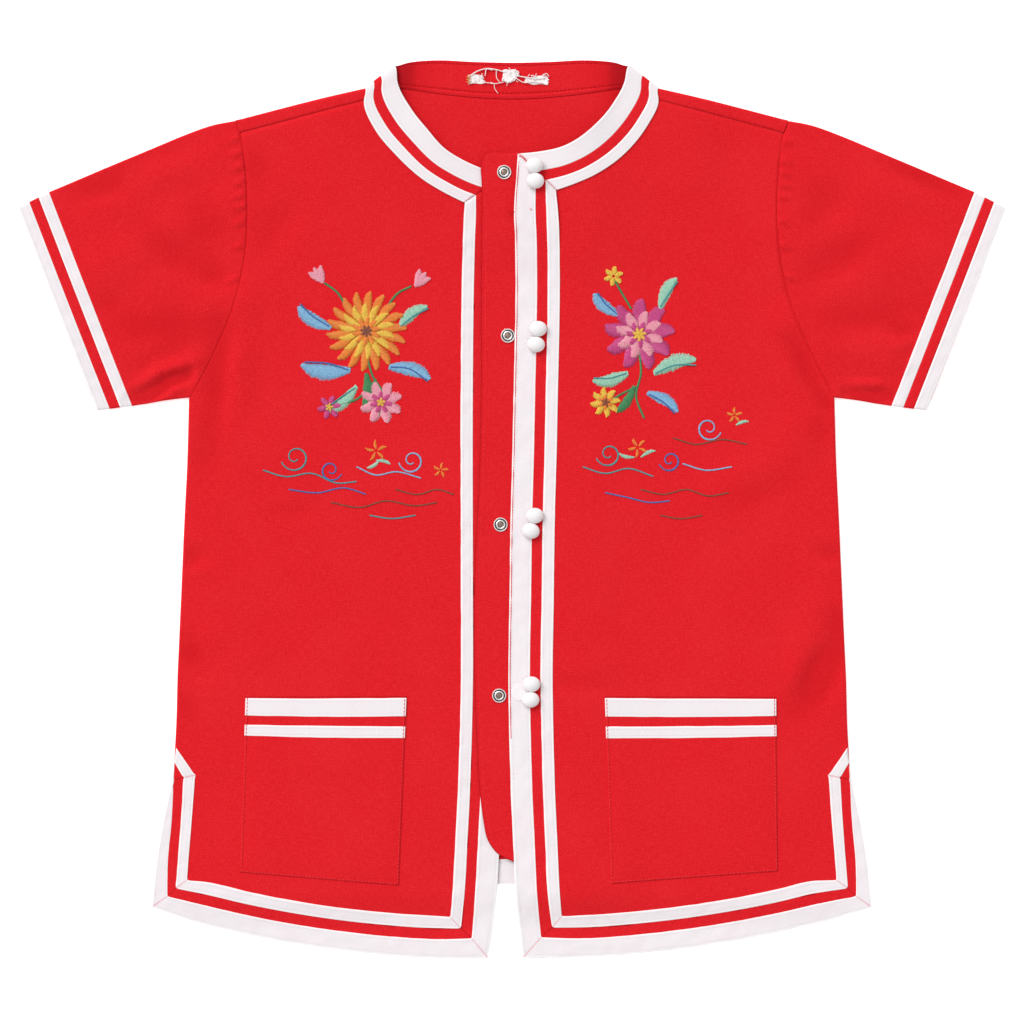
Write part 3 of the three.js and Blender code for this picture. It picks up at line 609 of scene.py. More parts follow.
def white_cotton():
    """Bias-cut white binding: painted highlights on its folded edges, a thin line of painted shade just
    inside them and pink mitres.
    """
    f = Finish("white cotton", 0.85, sheen=0.02, specular=0.08)
    grain = f.noise((0.5, 0.9, 1), detail=3, rough=0.6)
    patchy = f.noise((0.05, 0.05, 1), detail=2)
    fine = f.noise((2.2, 2.2, 1))
    below = f.tint(WHITE, f.remap(grain, 0.42, 0.62, 0.22, 0), (0.80, 0.72, 0.755))
    below = f.tint(below, f.remap(patchy, 0.48, 0.72, 0, 0.30), (0.86, 0.70, 0.75))
    for mark, strength, colour in (
        # painted highlight on the folded edges, and painted shade along the stitched line
        ("fold", 0.9, (0.96, 0.93, 0.935)),
        ("stitch_line_shade", 0.20, (0.62, 0.60, 0.60)),
        ("mitre", 0.85, PINK),
    ):
        below = f.tint(below, f.remap(f.attribute(mark), 0.0, 1.0, 0, strength), colour)
    f.colour(below)
    f.bump(f.sum((grain, 0.4), (fine, 0.3)), 0.25, 0.7)
    return f.material


def thread(name, colour, deep, roughness=0.45, sheen=0.1, specular=0.5):
    """Thread that darkens a little from stitch to stitch."""
    f = Finish(name, roughness, sheen=sheen, specular=specular)
    shade = f.noise((900, 900, 900), "Object", detail=1)
    f.colour(f.tint(colour, f.remap(shade, 0.42, 0.62, 0, 0.55), deep))
    f.bump(f.noise((4000, 4000, 4000), "Object"), 0.06)
    return f.material


def steel():
    """Bright metal with painted shade in its grooves and underneath, and brownish in the well."""
    f = Finish("snap metal", 0.34, metallic=1.0, specular=0.5)
    smudge = f.noise((420, 420, 420), "Object", detail=3)
    below = f.tint((0.98, 0.97, 0.95), f.remap(smudge, 0.46, 0.66, 0, 0.4), (0.72, 0.70, 0.66))
    # painted shade in the grooves and underneath
    below = f.tint(below, f.remap(f.attribute("well"), 0, 1, 0, 1), (0.05, 0.04, 0.035))
    f.colour(f.tint(below, f.remap(f.attribute("well"), 1, 2, 0, 0.9), (0.42, 0.30, 0.25)))
    f.bump(smudge, 0.05)
    return f.material


def button_cover(name, white, shade):
    """White cotton drawn tight over a button."""
    f = Finish(name, 0.7, sheen=0.05)
    weft, warp = f.waves((0, 620, 0), "Object"), f.waves((620, 0, 0), "Object")
    patchy = f.noise((300, 300, 300), "Object")
    f.colour(f.tint(white, f.remap(patchy, 0.4, 0.7, 0, 0.3), shade))
    f.bump(f.sum((weft, 0.5), (warp, 0.5)), 0.10, 0.6)
    return f.material


def label_cloth():
    """Torn ribbon with raised threads along it."""
    f = Finish("label remnant", 0.75, sheen=0.05)
    threads = f.waves((0.35, 0.0, 0))
    fray = f.noise((0.5, 2.5, 1), detail=3)
    f.colour(f.tint((1.0, 0.95, 0.94), f.remap(fray, 0.52, 0.7, 0, 0.6), (0.95, 0.55, 0.52)))
    f.bump(f.sum((threads, 0.6), (fray, 0.4)), 0.15)
    return f.material


RED_CLOTH = (red_cotton(), "red_cotton")
WHITE_CLOTH = (white_cotton(), "white_cotton")
RIBBON = (label_cloth(), "label_remnant")
METAL = steel()
COVERED = button_cover("button cover", (0.91, 0.895, 0.90), (0.85, 0.82, 0.835))
DULLED = button_cover("flat button cover", (0.93, 0.875, 0.895), (0.88, 0.81, 0.84))

# ---- Trims: rulings are the lines across them --------------------------------------------------------

TRIM_EDGE = (0, 0.12, 0.35, 0.7, 1.15, 1.6, 2.1)  # places across a trim near its folded edges
MITRE_EDGE = (-3, -1.9, -1.1, -0.45, 0.45, 1.1, 1.9, 3)  # places along it near a mitre
MITRE_ROUND = 0.45  # how far a sharp corner is drawn in


def hem_rulings(xs, sign, widths, low, rise, flat, reach):
    """Rulings up from a hem that is level as far out as `flat` and then rises."""
    out = []
    for x in xs:
        away = max(0, x - flat)
        edge = np.array([x * sign, low + rise * (away / reach) ** 2])
        lean = unit(np.array([-2 * rise * away / reach**2 * sign, 1.0]))
        out.append([edge + lean * width for width in (0, *widths)])
    return out


def front_rulings(side):
    """From the slit's chevron down, along the hem and up the front edge to the neck."""
    sign, column = SIGN[side], 1 if side == "left" else 2
    slit = np.array(SLIT) * [sign, 1]
    hem = hem_rulings(HEM_X, sign, HEM_WIDTHS, **HEM[side])
    centre = [[(row[column] + sign * width, row[0]) for width in (0, *CENTRE_WIDTHS)] for row in CENTRE]
    return np.array([*slit, *hem, HEM_CORNER[side], *centre, between(*NECK[side][0], SEAMS_AT)], float)


def back_rulings():
    """From one slit down, along the hem and up the other slit."""
    right, left = (
        [*(np.array(BACK_SLIT) * [sign, 1]), *hem_rulings(BACK_HEM_X, sign, BACK_WIDTHS, **BACK_HEM)]
        for sign in (-1, 1)
    )
    return np.array(right + left[-2::-1], float)


def at_width(ruling, width, wide=BAND):
    """Where a ruling, or a run of them, is at a width from the finished edge."""
    marks = [0, wide, wide + STRIP, wide + STRIP + TAPE]
    i = int(np.clip(np.searchsorted(marks, width, "right") - 1, 0, 2))
    share = (width - marks[i]) / (marks[i + 1] - marks[i])
    return ruling[..., i, :] * (1 - share) + ruling[..., i + 1, :] * share


def folded(width, total, turn=0.7):
    """1 across a trim, falling to 0 where its cloth is folded under at the two edges."""
    away = np.minimum(np.minimum(width, total - width), turn) / turn
    return np.sqrt(np.maximum(0, 1 - (1 - away) ** 2))


def trim_widths(total):
    """Places across a trim, close together near its folded edges."""
    return spread(total, TRIM_EDGE, 2.9, max(2, int(total / 1.8)))


def trim_marks(shape, edge, mitre=0.0, shade_amount=0.0):
    """A trim's painted highlight on its folds, painted shade along the line sewn inside them, its mitres and
    painted shade at the mitres of red strips; `edge` is how far in a point is.
    """
    marks = {"fold": np.clip(1.5 - edge / 0.8, 0, 1), "stitch_line_shade": bell((edge - 1.55) / 0.45)}
    marks.update({"mitre": mitre, SHADE_MARK: shade_amount})
    return {label: np.broadcast_to(values, shape) for label, values in marks.items()}


def trim(node, rulings, corners, start, total, level, stuff, raise_by, puff=0.15, wide=BAND, step=2.4):
    """A strip along the rulings, from `start` to `start + total` in from the finished edge."""
    line = at_width(rulings, start + total / 2, wide)
    knots, length = shares(line), run(line)[-1]
    close = [knots[c] + d / length for c in corners for d in MITRE_EDGE]
    at = np.unique(np.concatenate([steps(knots, length, step), close]).clip(0, 1))
    near = np.min([np.abs(at - knots[c]) * length for c in corners], axis=0)[:, None]
    dense = flow(rulings, knots, at, corners)
    dense = dense + (unit(dense[:, 3] - dense[:, 0]) * MITRE_ROUND * bell(near))[:, None]
    widths = trim_widths(total)
    xy = np.stack([at_width(dense, start + w, wide) for w in widths], 1)
    x, y = xy[..., 0], xy[..., 1]
    pull = 0.24 * rumple(x, y, 5.2, 3) + 0.07 * rumple(x, y, 2.3, 1)
    z = level(x, y) + raise_by - puff + (puff + pull) * folded(widths, total) - 0.06 * bell(near / 0.4)
    edge = np.minimum(widths, total - widths)
    # Pink mitres on white trims, and painted shade at the mitres of red strips
    marks = trim_marks(z.shape, edge, bell(near / 0.40), 1.5 * bell(near / 0.45))
    uv = np.stack(np.meshgrid(at * length, widths, indexing="ij"), -1)
    return lay(node, raised(xy, z), stuff, uv, marks)


# ---- Back and fronts ---------------------------------------------------------------------------------

BACK_ACROSS, BACK_HIGH = 373, 470  # about the cloth's size inside its trims


def shut(upper, lower, away):
    """Two layers drawn together over a folded or seamed side edge, where `away` is 0."""
    share = np.clip(away / 1.4, 0, 1)
    round_in = np.sqrt(np.maximum(0, 1 - (1 - share) ** 2))
    middle = (upper + lower) / 2
    return middle + (upper - middle) * round_in, middle + (lower - middle) * round_in


def shoulder(side, u, ku, top, low, bend):
    """The back's cloth from its shoulder fold, where it turns forward, down to the forward seam."""
    sign, first = (1, 11) if side == "left" else (-1, 0)
    picked = slice(first, first + 4)
    knots = ku[picked]
    across = np.flatnonzero((u >= knots[0] - 1e-6) & (u <= knots[-1] + 1e-6))
    local = u[across]
    seam = np.array([seam for _, seam in SHOULDER][::-sign]) * [sign, 1]
    seam_line = flow(seam, knots, local) + [0, 0.15]
    fold_line = flow(top[picked], knots, local)
    bend_line = flow(bend[picked, None], knots, local)[:, 0]
    low_line = np.interp(local, knots, low[picked])
    rows = []
    for angle in np.linspace(0, math.pi, 9):
        y = fold_line[:, 1] - bend_line * (1 - math.sin(angle))
        rows.append(np.stack([fold_line[:, 0], y, low_line + bend_line * (1 - math.cos(angle))], 1))
    start = rows[-1]
    for share in np.linspace(0.2, 1, 5):
        line = start[:, :2] * (1 - share) + seam_line * share
        level = front_level(side, line[:, 0], line[:, 1])
        z = start[:, 2] * (1 - share) + level * share - 1.4 * max(0, share - 0.75)
        rows.append(raised(line, z))
    rows = np.asarray(rows)
    outer_end = bell((SHOULDER[0][0][0] - np.abs(rows[..., 0])) / 1.2)
    outer_end = outer_end * ease(0, 4, np.arange(len(rows)))[:, None]
    rows[..., 0] += sign * 0.7 * outer_end
    rows[..., 2] -= 0.05 * outer_end
    return across, rows


def make_back():
    half = np.array([fold for fold, _ in SHOULDER] + [(x, y + 1.5) for _, (x, y) in BACK_NECK])
    top = np.concatenate([half * [-1, 1], half[-2::-1]])
    x, y = top[:, 0], top[:, 1]
    turned = np.abs(x) > 80  # the shoulders' folds; the places between them are under the collar
    low = FLOOR + LAYER * (1 - ease(88.7, 112, np.abs(x)))
    high = np.where(x > 0, front_level("left", x, y), front_level("right", x, y))
    bend = np.where(turned, (high - low) / 2, 0)
    before = np.stack([x, y - bend], 1)
    bottom = at_width(back_rulings(), BACK_WIDTHS[2] + SEAM, BACK_BAND)
    base, under = bottom[2:-2], np.array(ARMHOLE[-1])
    right = np.array([*bottom[-3:], *SIDE_SEAM, *ARMHOLE, under + (before[-1] - under) * 0.52, before[-1]])
    ku, kv = shares(base), shares(right)
    near_end = np.array([0.35, 0.9]) / BACK_ACROSS
    u = np.unique(np.concatenate([steps(ku, BACK_ACROSS, 3.6), near_end, 1 - near_end]))
    v = steps(kv, BACK_HIGH, 3.6)
    sides = [flow(right * [sign, 1], kv, v, (2, 8)) for sign in (-1, 1)]
    xy = patch(flow(base, ku, u), flow(before, ku, u, (3, 11)), *sides, u, v)
    under_stand = 1 - ease(78, 84, np.abs(xy[..., 0]))
    rise = np.interp(u, ku, low) - 0.55 * under_stand - FLOOR
    grids = [raised(xy, FLOOR + rise * ease(0.93, 1.0, v)[:, None])]
    for side in ("right", "left"):
        across, rows = shoulder(side, u, ku, top, low, bend)
        rows[0] = grids[0][-1, across]
        grids.append(rows)
    points, faces, count = [], [], 0
    for grid in grids:
        p, f = mesh_of(grid)
        points.append(p)
        faces.append(f[:, ::-1] + count)
        count += len(p)
    points, faces = np.concatenate(points), np.concatenate(faces)
    x, y, z = points.T
    # Painted shade on the back: inside the collar's sides, and a line at the shoulder's end by the armhole
    away, share = ridge(np.abs(x), y, 58, 241, 74, 266, 11)  # in the shade of the collar
    in_shade = 1.3 * bell(away) * ease(0.1, 0.8, share) * (z < 3)
    away, _ = ridge(np.abs(x), y, 171.2, 242.0, 169.4, 233.2, 0.7)  # at the armhole's end
    in_shade = np.maximum(in_shade, np.where(x < 0, 1.3, 0.1) * bell(away))
    nodes = ("back", "left_shoulder", "right_shoulder")
    back = make("back_cloth", points, faces, RED_CLOTH, nodes, points[:, :2], {SHADE_MARK: in_shade}, 0)
    edit(back, merge)
    thicken(back, THIN)
    on_floor = lambda x, y: np.full(np.shape(x), FLOOR)
    trims = [
        trim(node, back_rulings(), BACK_CORNERS, start, total, on_floor, stuff, 0.0, 0.12, BACK_BAND, 3.4)
        for node, start, total, stuff in (
            ("back_band", 0, BACK_BAND - 0.1, WHITE_CLOTH),
            ("back_strip", BACK_BAND + 0.1, STRIP - 0.1, RED_CLOTH),
            ("back_tape", BACK_BAND + STRIP + 0.1, TAPE - 0.1, WHITE_CLOTH),
        )
    ]


def make_front(side):
    flip = [SIGN[side], 1]
    rulings = front_rulings(side)
    inner_at = UNDER_TAPE - 1.0
    neckline = [between(*row, STAND + SEAM) for row in NECK[side][:1:-1]]
    bottom, inner = at_width(rulings[4:13], inner_at), at_width(rulings[12:28], inner_at)
    top_corner = np.array([inner[-1, 0], NECK[side][0][0][1] - STAND - SEAM])
    top = np.array([*(np.array([seam for _, seam in SHOULDER[:3]]) * flip), *neckline, top_corner])
    start = np.array([*at_width(rulings[4::-1], inner_at), *(np.array(SIDE_SEAM + ARMHOLE) * flip)])
    end = np.array([*inner, top_corner])
    ku, kv = shares(bottom), shares(start)
    u = steps(ku, run(bottom)[-1], 2.6, (0.2, 0.5, 0.9, 1.4, 2.0))
    v = steps(kv, run(start)[-1], 2.6)
    sides = flow(start, kv, v, (3, 4, 10)), flow(end, shares(end), v)
    xy = patch(flow(bottom, ku, u), flow(top, ku, u, (3,)), *sides, u, v)
    x, y = xy[..., 0], xy[..., 1]
    z = front_level(side, x, y)
    away = np.linalg.norm(xy - xy[:, :1], axis=-1)
    side_part = (ease(-160, -150, y[:, :1]) * (1 - ease(66, 72, y[:, :1]))) > 0.5
    z = np.where(side_part, shut(z, np.full_like(z, FLOOR), away)[0], z)
    z = z - 0.42 * bell(away / 0.9) * ease(68, 76, y)  # down into the armhole's seam
    sewn_on = np.linalg.norm(xy - xy[-1:], axis=-1)
    z = z - np.where(u <= ku[3] + 0.02, 0.40 * bell(sewn_on / 0.9), 0)  # and into the shoulder's
    # Painted shade of the armhole's seam groove, along the front's edge
    seam_shade = 1.6 * bell(away / 0.7) * ease(67, 70, y)
    front = cloth(side + "_front", raised(xy, z), np.maximum(seam_shade, crease_shade(x, y)))
    band_at = lambda x, y: trim_level(side, x, y)
    tape_at = lambda x, y: tape_level(side, x, y)
    pieces = [
        trim(side + part, rulings, FRONT_CORNERS, begin, total, level, stuff, raise_by, puff)
        for part, begin, total, level, stuff, raise_by, puff in (
            ("_front_band", 0, BAND - 0.1, band_at, WHITE_CLOTH, 0.35, 0.15),
            ("_front_strip", BAND - 0.6, STRIP + 1.0, band_at, RED_CLOTH, 0.12, 0.0),
            ("_front_tape", BAND + STRIP + 0.1, TAPE - 0.1, tape_at, WHITE_CLOTH, 0.60, 0.15),
        )
    ]


# ---- Collar ------------------------------------------------------------------------------------------

STAND_EDGE = [0, 0.2, 0.5, 1.0, 1.6, 2.2]
STAND_WIDTHS = np.concatenate([STAND_EDGE, np.linspace(3, 16.5, 8), np.arange(17.4, 22, 0.5), [STAND]])


def collar_stations(out, depths):
    """Points round the collar from the left front's end to the right one's, at depths below its free edge.

    They are on the stand where `out` is 0, and a layer outside it where `out` is 1.
    """
    columns = []
    for side, sign in SIGN.items():
        rows = []
        for i, (top, base) in enumerate(NECK[side]):
            if out == 0 and i == 0:
                base = (top[0], top[1] - TRIM)  # the stand's own end is cut straight down
            p = between(top, base, depths)
            z = front_level(side, p[:, 0], p[:, 1]) + collar_rise(p[:, 0], depths) + out * LAYER
            rows.append(raised(p, z))
        (x1, y1), (x2, y2) = NECK_FOLD
        outwards = unit(np.array([y1 - y2, x2 - x1]))
        p = between(*NECK_FOLD, depths)
        before = between(*NECK[side][-1], depths) * [sign, 1]
        behind = between(*BACK_NECK[0], depths, STAND)
        low, high = FLOOR + LAYER, front_level(side, p[:, 0] * sign, p[:, 1])
        bend = (high - low) / 2
        for angle in (90, 60, 30, 0, -30, -60, -90):
            up, out_by = math.sin(math.radians(angle)), math.cos(math.radians(angle))
            heading = unit(p - (before if angle > 0 else behind))
            q = p + outwards * out * LAYER * out_by + heading * (bend * (out_by - 1))[:, None]
            rows.append(raised(q * [sign, 1], (low + high) / 2 + up * (bend + out * LAYER)))
        for top, base in BACK_NECK if side == "left" else BACK_NECK[:3]:
            p = between(top, base, depths, STAND) * [sign, 1]
            rows.append(raised(p, np.full(len(p), FLOOR + LAYER * (1 - out))))
        columns.append(rows)
    return np.asarray(columns[0] + columns[1][::-1])


def collar_piece(node, out, start, total, stuff, lift=0.0):
    """The stand where `out` is 0, or else a trim that lies over it."""
    widths = trim_widths(total) if out else STAND_WIDTHS
    depths, middle = start + widths, len(widths) // 2
    stations = collar_stations(out, depths)
    knots, length = shares(stations[:, middle]), run(stations[:, middle])[-1]
    at = steps(knots, length, 2.2)
    grid = flow(stations, knots, at)
    if out:
        normal = unit(np.cross(np.gradient(grid, axis=1), np.gradient(grid, axis=0)))
        if normal[3, middle, 2] < 0:
            normal = -normal
        grid = grid + normal * ((folded(widths, total) - 1) * 0.3 + lift)[None, :, None]
        ends = np.minimum(at, 1 - at)[:, None] * length
        marks = trim_marks(grid.shape[:2], np.minimum(widths, total - widths), bell(ends / 0.5))
    else:  # pressed ridges along both edges, inside the neck
        x, y, z = grid[..., 0], grid[..., 1], grid[..., 2]
        lower = 0.38 * bell((depths - 20.6) / 0.55) - 0.25 * bell((depths - 18.6) / 0.6)
        upper = 0.22 * bell((depths - 0.6) / 0.7) - 0.18 * bell((depths - 1.7) / 0.5)
        z += (lower + upper) * (y > 250)
        # painted shade inside the stand towards its sides, where it stands up
        marks = {SHADE_MARK: 1.32 * ease(42, 66, np.abs(x)) * ease(250, 256, y) * (z < 2.6)}
    uv = np.stack(np.meshgrid(at * length, widths, indexing="ij"), -1)
    return lay(node, grid, stuff, uv, marks, judged=10 * (len(widths) - 1))


def make_collar():
    stand = collar_piece("collar_stand", 0, 0.0, STAND, RED_CLOTH)
    trims = [
        collar_piece("collar_band", 1, 0.0, BAND - 0.1, WHITE_CLOTH, -0.25),
        collar_piece("collar_strip", 1, BAND + 0.1, STRIP - 0.1, RED_CLOTH, -0.5),
        collar_piece("neck_tape", 1, BAND + STRIP + 0.1, TAPE - 0.1, WHITE_CLOTH, -0.2),
    ]


# ---- Sleeves -----------------------------------------------------------------------------------------

ARMHOLE_LENGTH = 175
CUFF_LENGTH = 140
CLOSE_TO_FOLD = (0.15, 0.45, 0.9, 1.4, 2.2)  # places near a sleeve's two folds


def sleeve_line():
    """The sleeve's edge in the armhole from underarm to top, its knots, and the places read on it."""
    (top, under), inwards = SLEEVE[0], np.array([-1.4, 0.3])
    hole = np.array([under + inwards, *(np.array(ARMHOLE) - [1.1, 0]), top + inwards])
    knots = shares(hole)
    fine = steps(knots, ARMHOLE_LENGTH, 1.7, CLOSE_TO_FOLD)
    return hole, knots, np.unique(np.concatenate([fine, 1 - np.array(CLOSE_TO_FOLD) / ARMHOLE_LENGTH]))


def cuff_line(depth, share):
    """The line across a cuff from underarm to top, at a depth in from its edge."""
    top, under = np.array(CUFF) + np.array(CUFF_IN) * depth
    return under + (top - under) * share[:, None]


def sleeve_rings(side, lines, share, opened):
    """Rings from the underarm fold over the top fold and back, each open as far as `opened` says."""
    rings = []
    for line, how in zip(lines, opened):
        xy = line * [SIGN[side], 1]
        level = front_level(side, xy[:, 0], xy[:, 1]) + SLEEVE_LOFT * how * 4 * share * (1 - share)
        away = np.minimum(share, 1 - share) * run(line)[-1]
        upper, lower = shut(level, np.full_like(level, FLOOR), away)
        rings.append(np.concatenate([raised(xy, upper), raised(xy, lower)[-2:0:-1]]))
    return np.asarray(rings)


def make_sleeve(side):
    hole, knots, share = sleeve_line()
    end = cuff_line(CUFF_BAND + STRIP + TAPE + SEAM - 1.2, share)
    start = np.array([hole[0], *(row[1] for row in SLEEVE[1:]), end[0]])
    over = np.array([hole[-1], *(row[0] for row in SLEEVE[1:]), end[-1]])
    kv, length = shares(start), run(over)[-1]
    v = steps(kv, length, 2.6, (0.5, 1.1, 1.6, 2.1))
    xy = patch(flow(hole, knots, share, (1,)), end, flow(start, kv, v), flow(over, kv, v), share, v)
    grid = sleeve_rings(side, xy, share, ease(0, 0.6, v))
    seam, upper_half = (v * length)[:, None], len(share)
    upper = grid[:, :upper_half]
    upper[..., 2] -= 0.95 * (1 - ease(0.5, 2.4, seam))
    # Painted shade of the armhole's seam groove, along the sleeve's edge
    seam_shade = 1.5 * bell(np.maximum(seam - 1.1, 0) / 0.75)
    if side == "left":  # its upper end goes in under the shoulder
        upper[..., 2] -= 0.8 * ease(231, 235, upper[..., 1]) * (1 - ease(1.6, 3.2, seam))
        seam_shade = seam_shade * (1 - ease(230, 233, grid[..., 1]))
    shade_amount = np.maximum(seam_shade, crease_shade(grid[..., 0], grid[..., 1]))
    sleeve = cloth(side + "_sleeve", grid, shade_amount, grain=-24 * SIGN[side], closed=True)
    for part, begin, total, stuff, lift in (
        ("_cuff_band", 0.0, CUFF_BAND - 0.1, WHITE_CLOTH, 0.35),
        ("_cuff_strip", CUFF_BAND - 0.4, STRIP + 0.8, RED_CLOTH, 0.0),
        ("_cuff_tape", CUFF_BAND + STRIP + 0.1, TAPE - 0.1, WHITE_CLOTH, 0.45),
    ):
        widths = trim_widths(total) if stuff is WHITE_CLOTH else np.linspace(0, total, 5)
        lines = [cuff_line(begin + width, share) for width in widths]
        rings = sleeve_rings(side, lines, share, np.ones(len(widths)))
        upper = rings[:, :upper_half]
        upper[..., 2] += lift * folded(widths, total)[:, None]
        upper[..., 2] += 0.20 * rumple(upper[..., 0], upper[..., 1], 4.8, 2)
        along = np.concatenate([share, share[-2:0:-1]]) * CUFF_LENGTH
        uv = np.stack(np.meshgrid(along, widths), -1)
        marks = trim_marks(rings.shape[:2], np.minimum(widths, total - widths)[:, None])
        lay(side + part, rings, stuff, uv, marks, closed=True)


# ---- Underlap and pockets ----------------------------------------------------------------------------


def make_underlap():
    line = np.array(UNDERLAP)[::-1, ::-1]
    knots = shares(line)
    dense = flow(line, knots, steps(knots, run(line)[-1], 2.4))
    across = np.array([0, 0.012, 0.03, 0.06, *np.linspace(0.1, 1, 11)])
    x = dense[:, :1] + (UNDERLAP_SEWN - dense[:, :1]) * across
    y = np.repeat(dense[:, 1:], len(across), 1)
    edge = x - dense[:, :1]
    z = underlap_level(x, y) - 0.25 * (1 - folded(np.minimum(edge, 3.0), 8.0))
    # Painted shadow along the underlap's free edge
    lap = cloth("underlap", np.stack([x, y, z], -1), 1.5 * bell(edge / 0.7), thick=0.8)


def on_pocket(side, depths, across):
    """Places on a pocket, at depths below its mouth and shares of the way outwards across it."""
    a, b, c, d = np.array(POCKETS[side])
    s, t = across[None, :, None], (depths / np.linalg.norm(c - a))[:, None, None]
    return (a * (1 - s) + b * s) * (1 - t) + (c * (1 - s) + d * s) * t


def make_pocket(side):
    a, b, c, _ = np.array(POCKETS[side])
    high, wide = np.linalg.norm(c - a), np.linalg.norm(b - a)
    close = (0, 0.4, 1.0, 1.8)
    depths, sides = spread(high, close, 3, 42), spread(wide, close, 3, 38)
    xy = on_pocket(side, depths, sides / wide)
    edge = np.minimum(np.minimum(depths, high - depths)[:, None], np.minimum(sides, wide - sides))
    lift = 0.55 + 0.5 * ease(0, 9, edge) - 0.30 * (1 - folded(np.minimum(edge, 4), 9, 1.0))
    z = front_level(side, xy[..., 0], xy[..., 1]) + lift
    # Painted shadow under the pocket's mouth
    mouth_shade = np.broadcast_to(1.6 * bell(depths / 0.8)[:, None], z.shape)
    pocket = cloth(side + "_pocket", raised(xy, z), mouth_shade)
    for part, start, total, lift in (("band", 0.9, BAND - 0.9, 1.25), ("tape", BAND + STRIP, TAPE, 1.2)):
        widths, sides = trim_widths(total)[:, None], spread(wide, (0, 0.25, 0.6, 1.2), 2.5, 44)
        xy = on_pocket(side, start + widths[:, 0], sides / wide)
        round_off = np.sqrt(np.clip(np.minimum(sides, sides[-1] - sides) / 0.7, 0.02, 1))
        sag = 0.5 * np.sin(np.pi * sides / wide) * (0.3 + 0.7 * widths / total)
        xy[..., 1] -= sag + 0.12 * rumple(xy[..., 0], xy[..., 1], 9, 1)
        puff = 0.15 * (folded(widths, total) * round_off - 1)
        z = front_level(side, xy[..., 0], xy[..., 1]) + lift + puff
        uv = np.stack(np.meshgrid(sides, widths), -1)
        marks = trim_marks(z.shape, np.minimum(widths, total - widths))
        lay(f"{side}_pocket_{part}", raised(xy, z), WHITE_CLOTH, uv, marks)


# ---- Snaps and buttons -------------------------------------------------------------------------------

SNAP_RINGS = [  # from the rim inwards: share of the radius, and rise
    (0.05, 0), (0.10, 0), (0.03, -0.25), (0.12, 0), (0.04, 0.60), (0.10, 0.15), (0.10, -0.10),
    (0.03, -0.40), (0.09, 0), (0.03, 0.05), (0.20, 0),
]
# Where the snap is dark, 1, it is painted shade in its grooves.
SNAP_DARK = [  # share of the radius, and 0 for bright, 1 for dark and 2 for brownish
    (0, 2), (0.33, 2), (0.35, 1), (0.44, 1), (0.46, 0), (0.67, 0), (0.69, 1), (0.83, 1), (0.85, 0),
    (1, 0),
]


def copy_to(piece, name, x, y, z, turn=0.0):
    """A copy with its own mesh, set in its place, with the object left at the origin."""
    made = piece.copy()
    made.data = piece.data.copy()
    made.name = made.data.name = name
    bpy.context.scene.collection.objects.link(made)
    made.data.transform(Matrix.Translation((x * MM, y * MM, z * MM)) @ Matrix.Rotation(turn, 4, "Z"))
    return made


def snap_socket():
    """A pressed snap: flange, groove darkened with painted shade, raised ring and the brownish well in it.
    """
    radius = SNAP_RADIUS * MM
    snap = primitive("cylinder", vertices=40, radius=radius, depth=0.7 * MM, location=(0, 0, 0.35 * MM))

    def work():
        for share, rise in SNAP_RINGS:
            pick(snap, lambda middle, normal: normal.z > 0.9 and middle.xy.length < 0.1 * MM)
            bpy.ops.mesh.inset(thickness=radius * share)
            move(0, 0, rise)

    edit(snap, work)
    soften(snap, 0.04, 2, 35)
    x, y, z = np.array([v.co for v in snap.data.vertices]).T
    # Painted shade in the grooves and on the underside, and brownish in the well
    ringed = np.interp(np.hypot(x, y) / radius, *zip(*SNAP_DARK))
    dark = np.where(z > 0, ringed, 0.3).astype(np.float32)
    snap.data.attributes.new("well", "FLOAT", "POINT").data.foreach_set("value", dark)
    snap.data.materials.append(METAL)
    return snap


def covered_button():
    """A domed button under white cotton, wider than high, on a short shank."""
    dome = primitive("uv_sphere", segments=32, ring_count=20, radius=BUTTON_WIDE * MM)

    def work():
        bpy.ops.mesh.select_all(action="SELECT")
        bpy.ops.mesh.bisect(plane_co=(0, 0, -1.4 * MM), plane_no=(0, 0, 1), use_fill=True, clear_inner=True)
        bpy.ops.mesh.select_all(action="SELECT")
        bpy.ops.transform.resize(value=(1, BUTTON_HIGH / BUTTON_WIDE, 0.62))
        pick(dome, lambda middle, normal: normal.z < -0.9 and middle.xy.length < 0.3 * MM)
        bpy.ops.mesh.inset(thickness=0.5 * MM)
        move(0, 0, 0.2)
        bpy.ops.mesh.inset(thickness=2.4 * MM)
        bpy.ops.mesh.extrude_region_move(TRANSFORM_OT_translate={"value": (0, 0, -SHANK * MM)})

    edit(dome, work)
    dome.data.materials.append(COVERED)
    low = min(v.co.z for v in dome.data.vertices)
    dome.data.transform(Matrix.Translation((0, 0, -low)))
    return dome


def flat_disc():
    """A flat covered button, seen half from under its neighbours."""
    radius = FLAT_BUTTON[2] * MM
    disc = primitive("cylinder", vertices=36, radius=radius, depth=0.55 * MM, location=(0, 0, 0.28 * MM))

    def crown():
        pick(disc, lambda middle, normal: normal.z > 0.9)
        for inwards, rise in ((0.9, 0.05), (2.0, -0.1)):
            bpy.ops.mesh.inset(thickness=inwards * MM)
            move(0, 0, rise)

    edit(disc, crown)
    soften(disc, 0.2, 3, 40)
    disc.data.materials.append(DULLED)
    return disc


